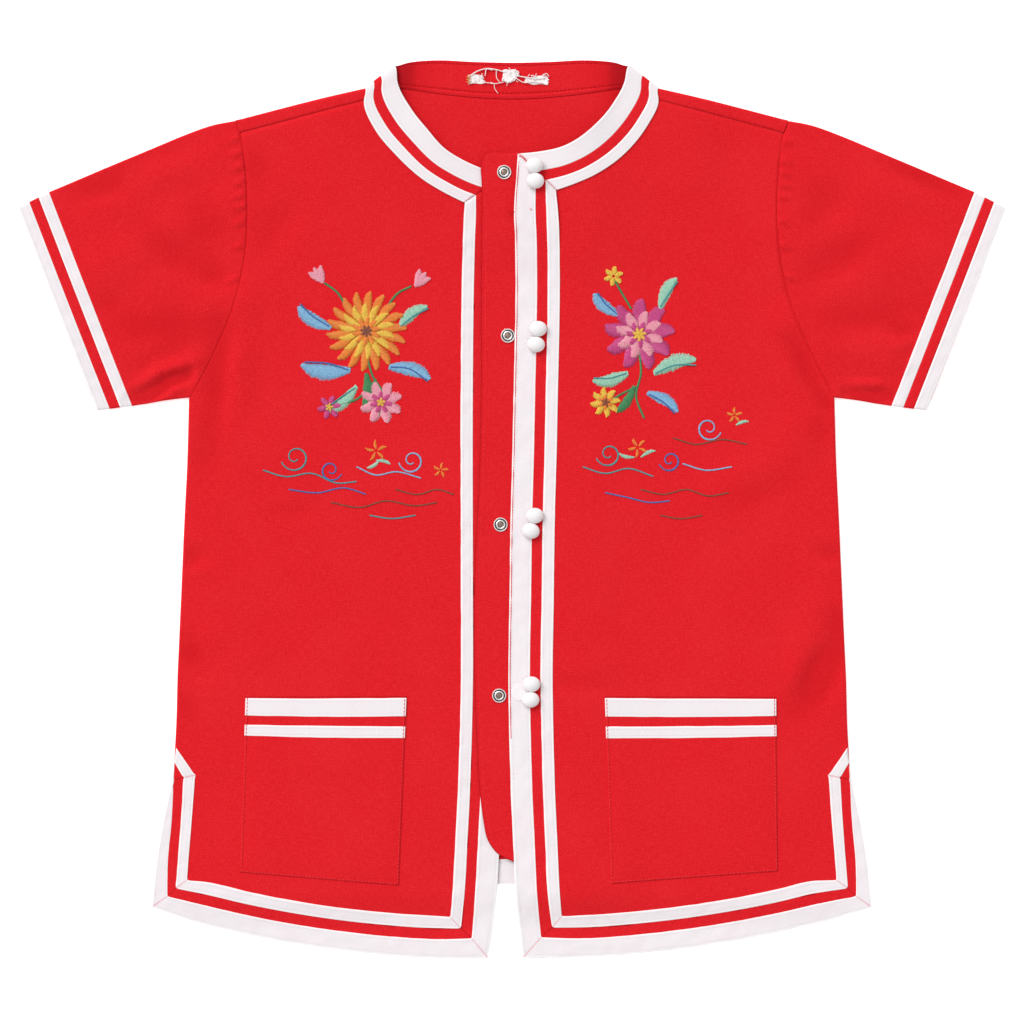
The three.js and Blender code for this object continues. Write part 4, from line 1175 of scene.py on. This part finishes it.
def fasten():
    """Sets the snaps on the underlap and the buttons on the left front."""
    patterns = snap, dome, disc = snap_socket(), covered_button(), flat_disc()
    for pattern in patterns:
        pattern.data.shade_smooth()
    for i, (x, y) in enumerate(SNAPS):
        z = float(underlap_level(x, y)) + 0.45
        dress(copy_to(snap, f"snap_{i + 1}_metal", x, y, z, 0.4 * i), (f"snap_{i + 1}",))
    for i, (x, y, turn) in enumerate(BUTTONS):
        z = float(trim_level("left", x, y)) + 0.7
        made = copy_to(dome, f"button_{i + 1}_cover", x, y, z, math.radians(turn))
        dress(made, (f"button_{i + 1}",))
    x, y, _ = FLAT_BUTTON
    z = float(trim_level("left", x, y)) + 0.58
    dress(copy_to(disc, "flat_button_cover", x, y, z), ("flat_button",))
    for pattern in patterns:
        bpy.data.objects.remove(pattern)


# ---- Stitches ----------------------------------------------------------------------------------------


def stitch_pattern():
    """One stitch, 1 long and 1 wide, thick in the middle and tucked in at its ends."""
    stitch = primitive("cube", size=1.0)

    def work():
        pick(stitch, lambda middle, normal: abs(normal.x) > 0.9)
        bpy.ops.transform.resize(value=(0.5, 1, 1))
        for way in (1, -1):
            pick(stitch, lambda middle, normal: normal.x * way > 0.9)
            bpy.ops.mesh.extrude_region_move(TRANSFORM_OT_translate={"value": (0.25 * way, 0, 0)})
            pick(stitch, lambda middle, normal: normal.x * way > 0.9)
            bpy.ops.transform.resize(value=(1, 0.5, 0.35))
        pick(stitch, lambda middle, normal: normal.z > 0.9)
        bpy.ops.transform.resize(value=(1, 0.6, 1))

    edit(stitch, work)
    points = np.array([v.co for v in stitch.data.vertices])
    points[:, 2] -= np.maximum(0, np.abs(points[:, 0]) - 0.25) * 1.2
    faces = np.array([f.vertices for f in stitch.data.polygons])
    bpy.data.objects.remove(stitch)
    return points, faces


STITCH = stitch_pattern()


def sew(name, stitches, finish, slot):
    """Lays copies of the stitch. Each has a middle, a direction, and a length, width and height."""
    points, faces = STITCH
    s = np.concatenate(stitches)
    along = unit(s[:, 3:6])
    over = unit(np.cross([0, 0, 1.0], along))
    axes = np.stack([along, over, np.cross(along, over)], 1)
    laid = s[:, None, :3] + np.einsum("pk,sk,skc->spc", points, s[:, 6:9], axes)
    all_faces = faces[None] + (np.arange(len(s)) * len(points))[:, None, None]
    make(name, laid.reshape(-1, 3), all_faces.reshape(-1, 4), (finish, slot), thick=0)


def strand(points, width):
    """A loose thread through points, as a chain of overlapping stitches."""
    points = np.asarray(points, float)
    line = flow(points, shares(points), np.linspace(0, 1, max(6, int(run(points)[-1] / 0.9))))
    ahead = np.diff(line, axis=0)
    length = np.linalg.norm(ahead, axis=1, keepdims=True) * 1.5
    return np.concatenate([(line[1:] + line[:-1]) / 2, ahead, length, np.full((len(length), 2), width)], 1)


def seam_stitches(line, level, width=0.28, height=0.12, pitch=2.7, length=2.1):
    """Machine stitches along a line on the cloth whose height `level` gives."""
    line = np.asarray(line, float)
    far = run(line)

    def place(at):
        x, y = np.interp(at, far, line[:, 0]), np.interp(at, far, line[:, 1])
        return np.stack([x, y, level(x, y)], 1)

    at = np.arange(pitch / 2, far[-1], pitch)
    ahead = place(np.clip(at + pitch / 2, 0, far[-1])) - place(np.clip(at - pitch / 2, 0, far[-1]))
    return np.concatenate([place(at), ahead, np.tile([length, width, height], (len(at), 1))], 1)


def ruled_line(side, width):
    """A dense line at one width along a front's trims."""
    rulings = front_rulings(side)
    line = at_width(rulings, width)
    knots = shares(line)
    return at_width(flow(rulings, knots, steps(knots, run(line)[-1], 2.0), FRONT_CORNERS), width)


def dense_line(points, step=2.0):
    """Straight lines through points, with more points on them about `step` apart."""
    points = np.asarray(points, float)
    far = run(points)
    at = np.unique(np.concatenate([np.linspace(0, far[-1], max(2, int(far[-1] / step))), far]))
    return np.stack([np.interp(at, far, points[:, 0]), np.interp(at, far, points[:, 1])], 1)


def sew_trims(side):
    """White stitches near both edges of the white trims on a front and its pocket."""
    band_at = lambda x, y: trim_level(side, x, y) + 0.50
    tape_at = lambda x, y: tape_level(side, x, y) + 0.76
    made = []
    for width, level in (
        (1.6, band_at),
        (BAND - 1.5, band_at),
        (BAND + STRIP + 1.5, tape_at),
        (TRIM - 1.5, tape_at),
    ):
        made.append(seam_stitches(ruled_line(side, width), level))
    pocket_at = lambda x, y: front_level(side, x, y) + 1.47
    for depth in (2.3, BAND - 1.5, BAND + STRIP + 1.4, TRIM - 1.4):
        ends = on_pocket(side, np.array([depth]), np.array([0.02, 0.98]))[0]
        made.append(seam_stitches(dense_line(ends), pocket_at))
    return made


def sew_pocket(side):
    """Red stitches down one side of a pocket, along its foot and up the other side."""
    sign, (a, b, c, d) = SIGN[side], np.array(POCKETS[side])
    trims_end = a[1] - TRIM
    level = lambda x, y: front_level(side, x, y) + 1.12 + 0.42 * ease(trims_end - 1, trims_end, y)
    turns = [a + [sign * 1.1, -1], c + [sign * 0.8, 1.0], d + [-sign * 0.8, 0.8], b + [-sign * 1.1, -1]]
    return seam_stitches(dense_line(turns), level, 0.5, 0.4, 2.3, 1.9)


def left_edge_threads():
    """The red thread down the left front's edge, the arc at its top and a loose end lower down."""
    level = lambda x, y: trim_level("left", x, y) + 0.74
    edge = ruled_line("left", 0.85)
    edge = edge[(edge[:, 0] < 12) & (edge[:, 1] > -143) & (edge[:, 1] < 216)]
    arc = dense_line([(4.2, 218.0), (6.0, 217.7), (7.6, 216.6), (9.2, 214.6)], 0.8)
    end = strand([(x, y, float(level(x, y)) + 0.1) for x, y in ((11.4, 185.1), (12.1, 185.3))], 0.6)
    return [seam_stitches(edge, level, 0.5, 0.3, 1.9), seam_stitches(arc, level, 0.75, 0.4, 1.6, 1.7), end]


def dark_threads_and_seam_shade():
    """Stitches inside the collar, dark threads along the cuffs and at the edge, and a dark thread in the
    left armhole as painted shade of its seam.
    """
    level = lambda x, y: np.full(np.shape(x), FLOOR + LAYER + 0.28)
    neck = [np.array(row) * [[sign, 1]] for sign, way in ((1, 1), (-1, -1)) for row in BACK_NECK[::way]]
    made = []
    for down in (1.7, 18.6):
        line = dense_line([between(*row, down, STAND) for row in neck])
        made.append(seam_stitches(line, level, 0.4, 0.3, 2.6))
    top, low = np.array(CUFF)
    for sign, near, far in ((1, 0.30, 0.95), (-1, 0.62, 0.94)):
        share = np.linspace(near, far, 12)[:, None]
        edge = (top + (low - top) * share + np.array([0.932, -0.362]) * 0.25) * [sign, 1]
        made.append(strand(raised(edge, np.full(len(edge), FLOOR + 0.35)), 0.7))
    # A dark thread along the left armhole's seam: painted shade of the seam's groove
    hole, knots, _ = sleeve_line()
    seam = flow(hole, knots, np.linspace(0.012, 0.62, 50), (1,)) + [1.1, 0]
    along = np.gradient(seam, axis=0)
    seam += 0.38 * unit(np.stack([along[:, 1], -along[:, 0]], 1))
    made.append(strand(raised(seam, front_level("left", *seam.T) + 0.12), 0.5))
    loose = ((-1.8, 183.3, -0.56), (0.0, 183.7, 0.24), (1.8, 183.4, 0.74))
    made.append(strand([(x, y, float(trim_level("left", x, y)) + lift) for x, y, lift in loose], 0.5))
    return made


def sew_seams():
    """One piece for each colour of sewing thread."""
    white, red, dark = [], [], dark_threads_and_seam_shade()
    for side in ("left", "right"):
        white += sew_trims(side)
        red.append(sew_pocket(side))
    red += left_edge_threads()
    lap = [(13.0, 218.6), (-12.5, 218.5), (-15.2, 217.0)]
    lap += [(free + 2.4, high) for high, free in UNDERLAP[1:-1]] + [(3.0, -215.6)]
    lap_at = lambda x, y: underlap_level(x, y) + 0.42
    red.append(seam_stitches(dense_line(lap), lap_at, 0.30, 0.2, 2.8))
    for name, stitches, slot, colour, light, deep, shine in (
        ("white_stitches", white, "white_cotton", "white", (0.90, 0.85, 0.865), (0.82, 0.77, 0.79), 0.1),
        ("pocket_stitches", red, "red_cotton", "red", (0.86, 0.05, 0.06), (0.66, 0.018, 0.026), 0.1),
        # the dark red thread also lays the painted shade in the left armhole
        ("dark_red_stitches_and_seam_shade", dark, "red_cotton", "dark red", (0.6, 0.01, 0.016), (0.44, 0.006, 0.01), 0.05),
    ):
        sew(name, stitches, thread(colour + " sewing thread", light, deep, 0.8, 0.0, shine), slot)


# ---- The torn label ----------------------------------------------------------------------------------

RIBBONS = [  # node, from and to across the collar, from and to up it, and how high its heap is
    ("label_end_right", -27.0, -16.6, 263.6, 269.3, 0.15),
    ("label_middle", -6.0, 2.6, 264.4, 272.6, 0.4),
    ("label_end_left", 8.0, 22.3, 263.1, 268.3, 0.15),
]
LABEL_THREADS = [  # width, then places with their rise over the ribbon
    (0.75, (-25.5, 268.8, 0), (-20.5, 271.6, 0.3), (-15.5, 272.9, 0), (-9.5, 272.2, 0), (-4.5, 270.8, 0)),
    (0.6, (-16.5, 268.6, 0), (-15.6, 272.6, 0), (-12.0, 272.0, 0)),
    (0.5, (-9.6, 271.6, 0), (-9.2, 266.8, 0), (-7.6, 264.6, 0)),
    (0.8, (2.0, 268.6, 0), (8.0, 267.6, 0), (14.0, 266.8, 0), (20.0, 266.9, 0)),
    (0.6, (2.6, 266.9, 0), (7.5, 264.3, 0), (13.0, 264.6, 0), (19.5, 264.0, 0)),
    (0.7, (1.0, 271.8, 0), (4.4, 270.6, 0), (3.4, 268.6, 0)),
    (0.42, (-13.0, 264.4, 0), (-11.2, 263.6, 0), (-10.6, 260.6, -0.3), (-8.6, 257.8, -0.5)),
    (0.5, (-15.8, 264.2, 0), (-10.0, 263.6, 0), (-5.0, 264.6, 0)),
    (0.5, (19.0, 268.8, 0), (21.5, 269.9, 0), (23.0, 268.2, 0)),
]


def make_label():
    """Two torn ends of a ribbon and the frayed middle of it, sewn inside the collar."""
    draw = np.random.RandomState(5)
    base = FLOOR + LAYER + 0.55
    u, v = np.linspace(0, 1, 34), np.linspace(0, 1, 18)[:, None]
    narrows = (
        1 - 0.12 * ease(0.4, 1.0, u),
        0.72 + 0.28 * np.sin(u * 2.6 + 0.3),
        1 - 0.45 * ease(0.5, 0.0, u),
    )
    for (node, x1, x2, y1, y2, heap), narrow in zip(RIBBONS, narrows):
        torn = np.cumsum(draw.uniform(-0.6, 0.6, (2, len(v))), axis=1)[..., None]
        x = x1 + (x2 - x1) * u + torn[0] * (1 - u) ** 5 * 0.5 + torn[1] * u**5
        y = (y1 + y2) / 2 + (y2 - y1) * (v - 0.5) * narrow + 0.3 * np.sin(u * 9 + x1)
        z = base + heap * (0.5 + 0.5 * rumple(x, y, 1.9, 1)) + 0.12 * rumple(x, y, 0.8, 2)
        grid = np.stack([x, y, z], -1)
        lay(node, grid, RIBBON, grid[..., :2], None, 0.3, ending="_ribbon")
    top = base + 0.9
    white = [strand([(x, y, top + up) for x, y, up in line], width) for width, *line in LABEL_THREADS]
    for i in range(46):  # frayed ends over the middle and along both stubs
        x = [draw.uniform(-6.5, 3.4), draw.uniform(-26.6, -16), draw.uniform(10, 23)][i % 3]
        y = draw.uniform(264.2, 272.6) if i % 3 == 0 else draw.uniform(263.6, 268.6)
        turn, length = draw.uniform(0, 6.3), draw.uniform(0.9, 2.2)
        ahead = np.array([length * math.cos(turn), length * math.sin(turn), 0])
        start = np.array([x, y, top])
        white.append(strand([start, start + ahead / 2 + [0, 0, 0.35], start + ahead], 0.42))
    fringe = [
        strand([(-27.2 - 0.9 * (i % 2), 263.9 + 0.75 * i, top), (-25.6, 264.0 + 0.75 * i, top)], 0.5)
        for i in range(7)
    ]
    pale = thread("label thread", (0.99, 0.96, 0.95), (0.93, 0.86, 0.86), 0.9, 0.0, 0.1)
    orange = thread("orange label thread", (0.86, 0.42, 0.12), (0.80, 0.26, 0.10))
    sew("label_threads", white, pale, "label_remnant")
    sew("label_fringe", fringe, orange, "label_remnant")


# ---- Embroidery: sprays of flowers over scrolled clouds ----------------------------------------------


def satin(line, widths, side, pitch=0.85, slant=0.35, seed=0):
    """Stitches laid side by side across a shape that follows a line and has the given widths."""
    line = np.asarray(line, float)
    far = run(line)
    at = np.arange(pitch * 0.4, far[-1], pitch)
    middle = np.stack([np.interp(at, far, line[:, 0]), np.interp(at, far, line[:, 1])], 1)
    along = unit(np.gradient(middle, axis=0) if len(at) > 1 else line[-1:] - line[:1])
    across = unit(np.stack([-along[:, 1], along[:, 0]], 1) + along * slant)
    wide = np.interp(at, np.linspace(0, far[-1], len(widths)), widths)
    uneven = np.random.RandomState(seed + len(at)).uniform(0.9, 1.1, len(at))
    length = np.maximum(0.9, wide * uneven)[:, None]
    near, at_middle, far_end = (
        raised(place, front_level(side, *place.T))
        for place in (middle - across * length / 2, middle, middle + across * length / 2)
    )
    sized = [length, np.full_like(length, pitch * 1.3), np.full_like(length, 0.7)]
    return np.concatenate([at_middle, far_end - near, *sized], 1)


def petal(x, y, angle, length, width, side, bend=0.15, seed=0):
    """A petal or leaf from its foot at (x, y)."""
    t = np.linspace(0, 1, 9)
    a = math.radians(angle)
    out, over = length * t, length * bend * np.sin(t * math.pi * 0.8)
    line = [x + out * math.cos(a) - over * math.sin(a), y + out * math.sin(a) + over * math.cos(a)]
    return satin(np.stack(line, 1), width * np.array([0.35, 0.75, 1.0, 0.85, 0.25]), side, seed=seed)


def stem(points, side, width):
    """A line of slanted stitches through points."""
    points = np.reshape(points, (-1, 2)).astype(float)
    return satin(flow(points, shares(points), np.linspace(0, 1, 40)), [width, width], side, 0.8, 1.4)


def curl(x, y, size, start, way, side):
    """A curl of cloud that winds in towards its middle."""
    t = np.linspace(0, 1, 60)
    angle = math.radians(start) + way * t * 1.3 * 2 * math.pi
    radius = size * (1 - 0.78 * t)
    line = np.stack([x + radius * np.cos(angle), y + radius * np.sin(angle)], 1)
    return satin(line, 1.25 * np.array([0.5, 1, 1, 0.8, 0.4]), side, slant=0.2)


def rosette(x, y, petals, inner, outer, width, start, side):
    """A ring of petals round a middle."""
    made = []
    for i in range(petals):
        angle = start + 360 * i / petals
        a = math.radians(angle)
        foot = x + inner * math.cos(a), y + inner * math.sin(a)
        made.append(petal(*foot, angle, outer - inner, width, side, seed=i))
    return made


SPRAYS = {  # by layer: side, thread, kind of shape, and the measures of each shape
    "leaves": [
        (
            "right", "light_blue", "leaf",
            (-100, 86, 168, 30, 11), (-112, 112, 140, 24, 9.5), (-76, 88, -22, 26, 10),
        ),
        ("right", "mint", "leaf", (-96, 76, 214, 24, 8), (-70, 112, 32, 22, 8)),
        ("right", "green", "leaf", (-90, 84, 258, 22, 7)),
        (
            "right", "green", "stem",
            (-90, 96, -86, 82, -80, 72, -82, 58), (-84, 80, -96, 68, -110, 64),
            (-78, 124, -70, 134, -62, 138), (-102, 124, -108, 134, -116, 140),
        ),
        ("left", "mint", "leaf", (88, 84, 12, 27, 10.5), (72, 84, 186, 22, 9), (92, 124, 56, 21, 8.5)),
        ("left", "light_blue", "leaf", (66, 120, 132, 20, 8.5), (84, 72, -38, 22, 8)),
        ("left", "green", "leaf", (76, 76, 228, 20, 6.5)),
        (
            "left", "green", "stem",
            (79, 98, 80, 84, 77, 70, 82, 56), (78, 76, 66, 70, 60, 66), (74, 124, 68, 134, 64, 141),
        ),
    ],
    "veins": [
        (
            "right", "blue", "vein",
            (-101, 86, -113, 90, -128, 91), (-113, 113, -124, 120, -131, 127),
            (-75, 88, -64, 87, -52, 79),
        ),
        ("right", "teal", "vein", (-97, 75, -106, 69, -115, 62), (-69, 113, -60, 120, -52, 124)),
        (
            "left", "teal", "vein",
            (89, 84, 101, 89, 114, 89), (71, 84, 61, 81, 51, 81), (92, 125, 97, 133, 103, 141),
        ),
        ("left", "blue", "vein", (65, 121, 58, 127, 53, 134), (85, 71, 94, 66, 101, 59)),
    ],
    "outer petals": [
        ("right", "orange", "rosette", (-90, 110, 18, 9, 25, 6.0, 0)),
        ("right", "pink", "rosette", (-81, 66, 8, 3, 13, 7.5, 10)),
        ("left", "magenta", "rosette", (79, 108, 9, 6, 21.5, 10.5, 0)),
        ("left", "yellow", "rosette", (58, 66, 8, 2, 9, 4.6, 0), (63, 144, 6, 1, 6, 3.8, 10)),
        ("right", "pink", "bud", (-60, 138, 50), (-117, 140, 120)),
        ("right", "magenta", "rosette", (-113, 63, 6, 1.4, 7.5, 4.4, 0)),
    ],
    "inner petals": [
        ("right", "yellow", "rosette", (-90, 110, 14, 5, 17, 5.0, 10)),
        ("right", "magenta", "rosette", (-81, 66, 7, 1, 7, 4.0, 30)),
        ("left", "pink", "rosette", (79, 108, 8, 4, 14.5, 7.8, 22)),
        ("left", "orange", "rosette", (58, 66, 6, 0.8, 4.6, 3.0, 20)),
    ],
    "middles": [
        ("right", "orange", "rosette", (-90, 110, 10, 1.5, 9, 4.0, 4)),
        ("left", "magenta", "rosette", (79, 108, 7, 1.5, 8, 4.6, 10)),
    ],
    "hearts": [
        ("right", "brown", "rosette", (-90, 110, 7, 0.4, 4, 2.4, 0)),
        ("right", "yellow", "rosette", (-81, 66, 5, 0.3, 2.8, 1.8, 0)),
        ("left", "yellow", "rosette", (79, 108, 7, 0.4, 4.4, 2.4, 0)),
        ("left", "brown", "rosette", (58, 66, 5, 0.2, 2.2, 1.5, 0)),
        ("right", "yellow", "rosette", (-113, 63, 5, 0.2, 2.2, 1.5, 0)),
    ],
    "ground": [
        ("right", "teal", "curl", (-134, 32, 9, 200, 1)),
        ("right", "blue", "curl", (-112, 24, 7, -20, -1)),
        ("right", "light_blue", "curl", (-62, 30, 8, 190, 1)),
        ("right", "teal", "line", (-154, 24, -140, 20, -124, 22, -108, 16, -96, 17)),
        ("right", "blue", "line", (-138, 12, -120, 10, -104, 13, -90, 9)),
        ("right", "light_blue", "line", (-96, 26, -84, 21, -72, 23, -56, 19)),
        (
            "right", "brown", "line",
            (-112, 4, -94, 1, -78, 5, -60, 2, -46, 4), (-72, 12, -58, 9, -46, 12, -36, 9),
        ),
        ("right", "teal", "line", (-88, -4, -74, -6, -60, -4)),
        ("right", "orange", "rosette", (-84, 36, 5, 1.2, 6.5, 2.2, 18)),
        ("right", "mint", "leaf", (-82, 30, 205, 9, 2.6), (-84, 30, -20, 9, 2.6)),
        ("right", "orange", "rosette", (-44, 24, 5, 0.8, 4.6, 1.8, 0)),
        ("left", "teal", "curl", (60, 34, 8, 200, 1)),
        ("left", "light_blue", "curl", (122, 50, 8, -20, -1)),
        ("left", "blue", "curl", (98, 30, 7, 200, 1)),
        ("left", "teal", "line", (44, 26, 58, 22, 72, 25, 88, 20)),
        (
            "left", "brown", "line",
            (80, 12, 94, 9, 108, 12, 122, 8, 134, 10), (100, 44, 114, 40, 130, 43, 146, 40),
        ),
        ("left", "blue", "line", (58, 10, 72, 7, 86, 4, 98, 5)),
        ("left", "brown", "line", (92, -4, 104, -6, 118, -4)),
        ("left", "light_blue", "line", (106, 28, 120, 24, 136, 26)),
        ("left", "orange", "rosette", (78, 38, 5, 1.2, 6, 2.2, 40)),
        ("left", "mint", "leaf", (80, 32, 18, 10, 2.6), (76, 32, 160, 10, 2.6)),
        ("left", "orange", "rosette", (138, 58, 5, 0.8, 5, 2.0, 10)),
        ("left", "mint", "leaf", (139, 52, 10, 8, 2.4)),
    ],
}
LAYER_LIFT = {
    "leaves": 0.40,
    "veins": 0.80,
    "outer petals": 0.62,
    "inner petals": 0.92,
    "middles": 1.2,
    "hearts": 1.45,
    "ground": 0.36,
}
THREADS = {
    "orange": ((0.86, 0.25, 0.025), (0.62, 0.13, 0.02)),
    "yellow": ((0.86, 0.56, 0.06), (0.70, 0.36, 0.03)),
    "light_blue": ((0.24, 0.50, 0.72), (0.12, 0.30, 0.56)),
    "blue": ((0.055, 0.17, 0.48), (0.03, 0.08, 0.30)),
    "pink": ((0.86, 0.36, 0.44), (0.72, 0.20, 0.30)),
    "magenta": ((0.62, 0.06, 0.25), (0.42, 0.03, 0.15)),
    "mint": ((0.38, 0.66, 0.50), (0.18, 0.46, 0.34)),
    "teal": ((0.06, 0.34, 0.36), (0.03, 0.20, 0.24)),
    "green": ((0.05, 0.26, 0.09), (0.02, 0.14, 0.05)),
    "brown": ((0.26, 0.07, 0.035), (0.14, 0.035, 0.02)),
}
LINE_WIDTH = {"stem": 1.9, "vein": 0.9, "line": 1.05}


def shape_stitches(kind, values, side):
    """The stitches of one shape, as a list, one for each satin-stitched part."""
    if kind == "rosette":
        return rosette(*values, side)
    if kind == "leaf":
        return [petal(*values, side, 0.16)]
    if kind == "bud":
        x, y, angle = values
        lean = ((-28, 0.1), (0, 0), (28, -0.1))
        return [petal(x, y, angle + turn, 11, 5, side, bend) for turn, bend in lean]
    if kind == "curl":
        return [curl(*values, side)]
    return [stem(values, side, LINE_WIDTH[kind])]


def embroider():
    """One piece for each colour of thread, with every shape sewn in it."""
    for colour, (light, deep) in THREADS.items():
        stitches = []
        for layer, groups in SPRAYS.items():
            for side, tone, kind, *shapes in groups:
                if tone != colour:
                    continue
                for values in shapes:
                    for laid in shape_stitches(kind, values, side):
                        laid[:, 2] += LAYER_LIFT[layer]
                        stitches.append(laid)
        finish = thread(colour + " embroidery thread", light, deep)
        sew(colour + "_embroidery", stitches, finish, "red_cotton")


# ---- Putting it together -----------------------------------------------------------------------------

make_back()
for side in ("right", "left"):
    make_front(side)
    make_sleeve(side)
    make_pocket(side)
make_underlap()
make_collar()
make_label()
fasten()
sew_seams()
embroider()

# ---- Surface, light and camera -----------------------------------------------------------------------


def make_surface():
    floor = primitive("grid", x_subdivisions=8, y_subdivisions=8, size=6.0, location=(0, 0, -0.0002))
    floor.name = "white_table"
    f = Finish("white table", 0.9, specular=0.1)
    patchy = f.remap(f.noise((3, 3, 3), "Object"), 0.4, 0.6, 0, 0.1)
    f.colour(f.tint((0.97, 0.97, 0.97), patchy, (0.95, 0.95, 0.95)))
    f.shader.inputs["Emission Color"].default_value = (1, 1, 1, 1)
    f.shader.inputs["Emission Strength"].default_value = 0.45
    floor.data.materials.append(f.material)


def place_in_scene(name, data, location):
    holder = bpy.data.objects.new(name, data)
    bpy.context.scene.collection.objects.link(holder)
    holder.location = location
    return holder


def light_and_camera():
    scene = bpy.context.scene
    scene.world = bpy.data.worlds.new("studio")
    scene.world.use_nodes = True
    background = scene.world.node_tree.nodes["Background"]
    background.inputs["Color"].default_value = (1, 1, 1, 1)
    background.inputs["Strength"].default_value = 0.60
    sun = bpy.data.lights.new("window light", "SUN")
    sun.energy, sun.angle = 2.10, math.radians(40)
    holder = place_in_scene("window light", sun, (-1.25, 1.45, 1.75))
    holder.rotation_euler = (-holder.location).to_track_quat("-Z", "Y").to_euler()
    camera = bpy.data.cameras.new("camera")
    camera.lens, camera.sensor_width = 85, 36
    camera.clip_start, camera.clip_end = 0.05, 20
    scene.camera = place_in_scene("camera", camera, (0.00015, -0.0019, 1.5015))
    scene.view_settings.view_transform = "Standard"


make_surface()
light_and_camera()
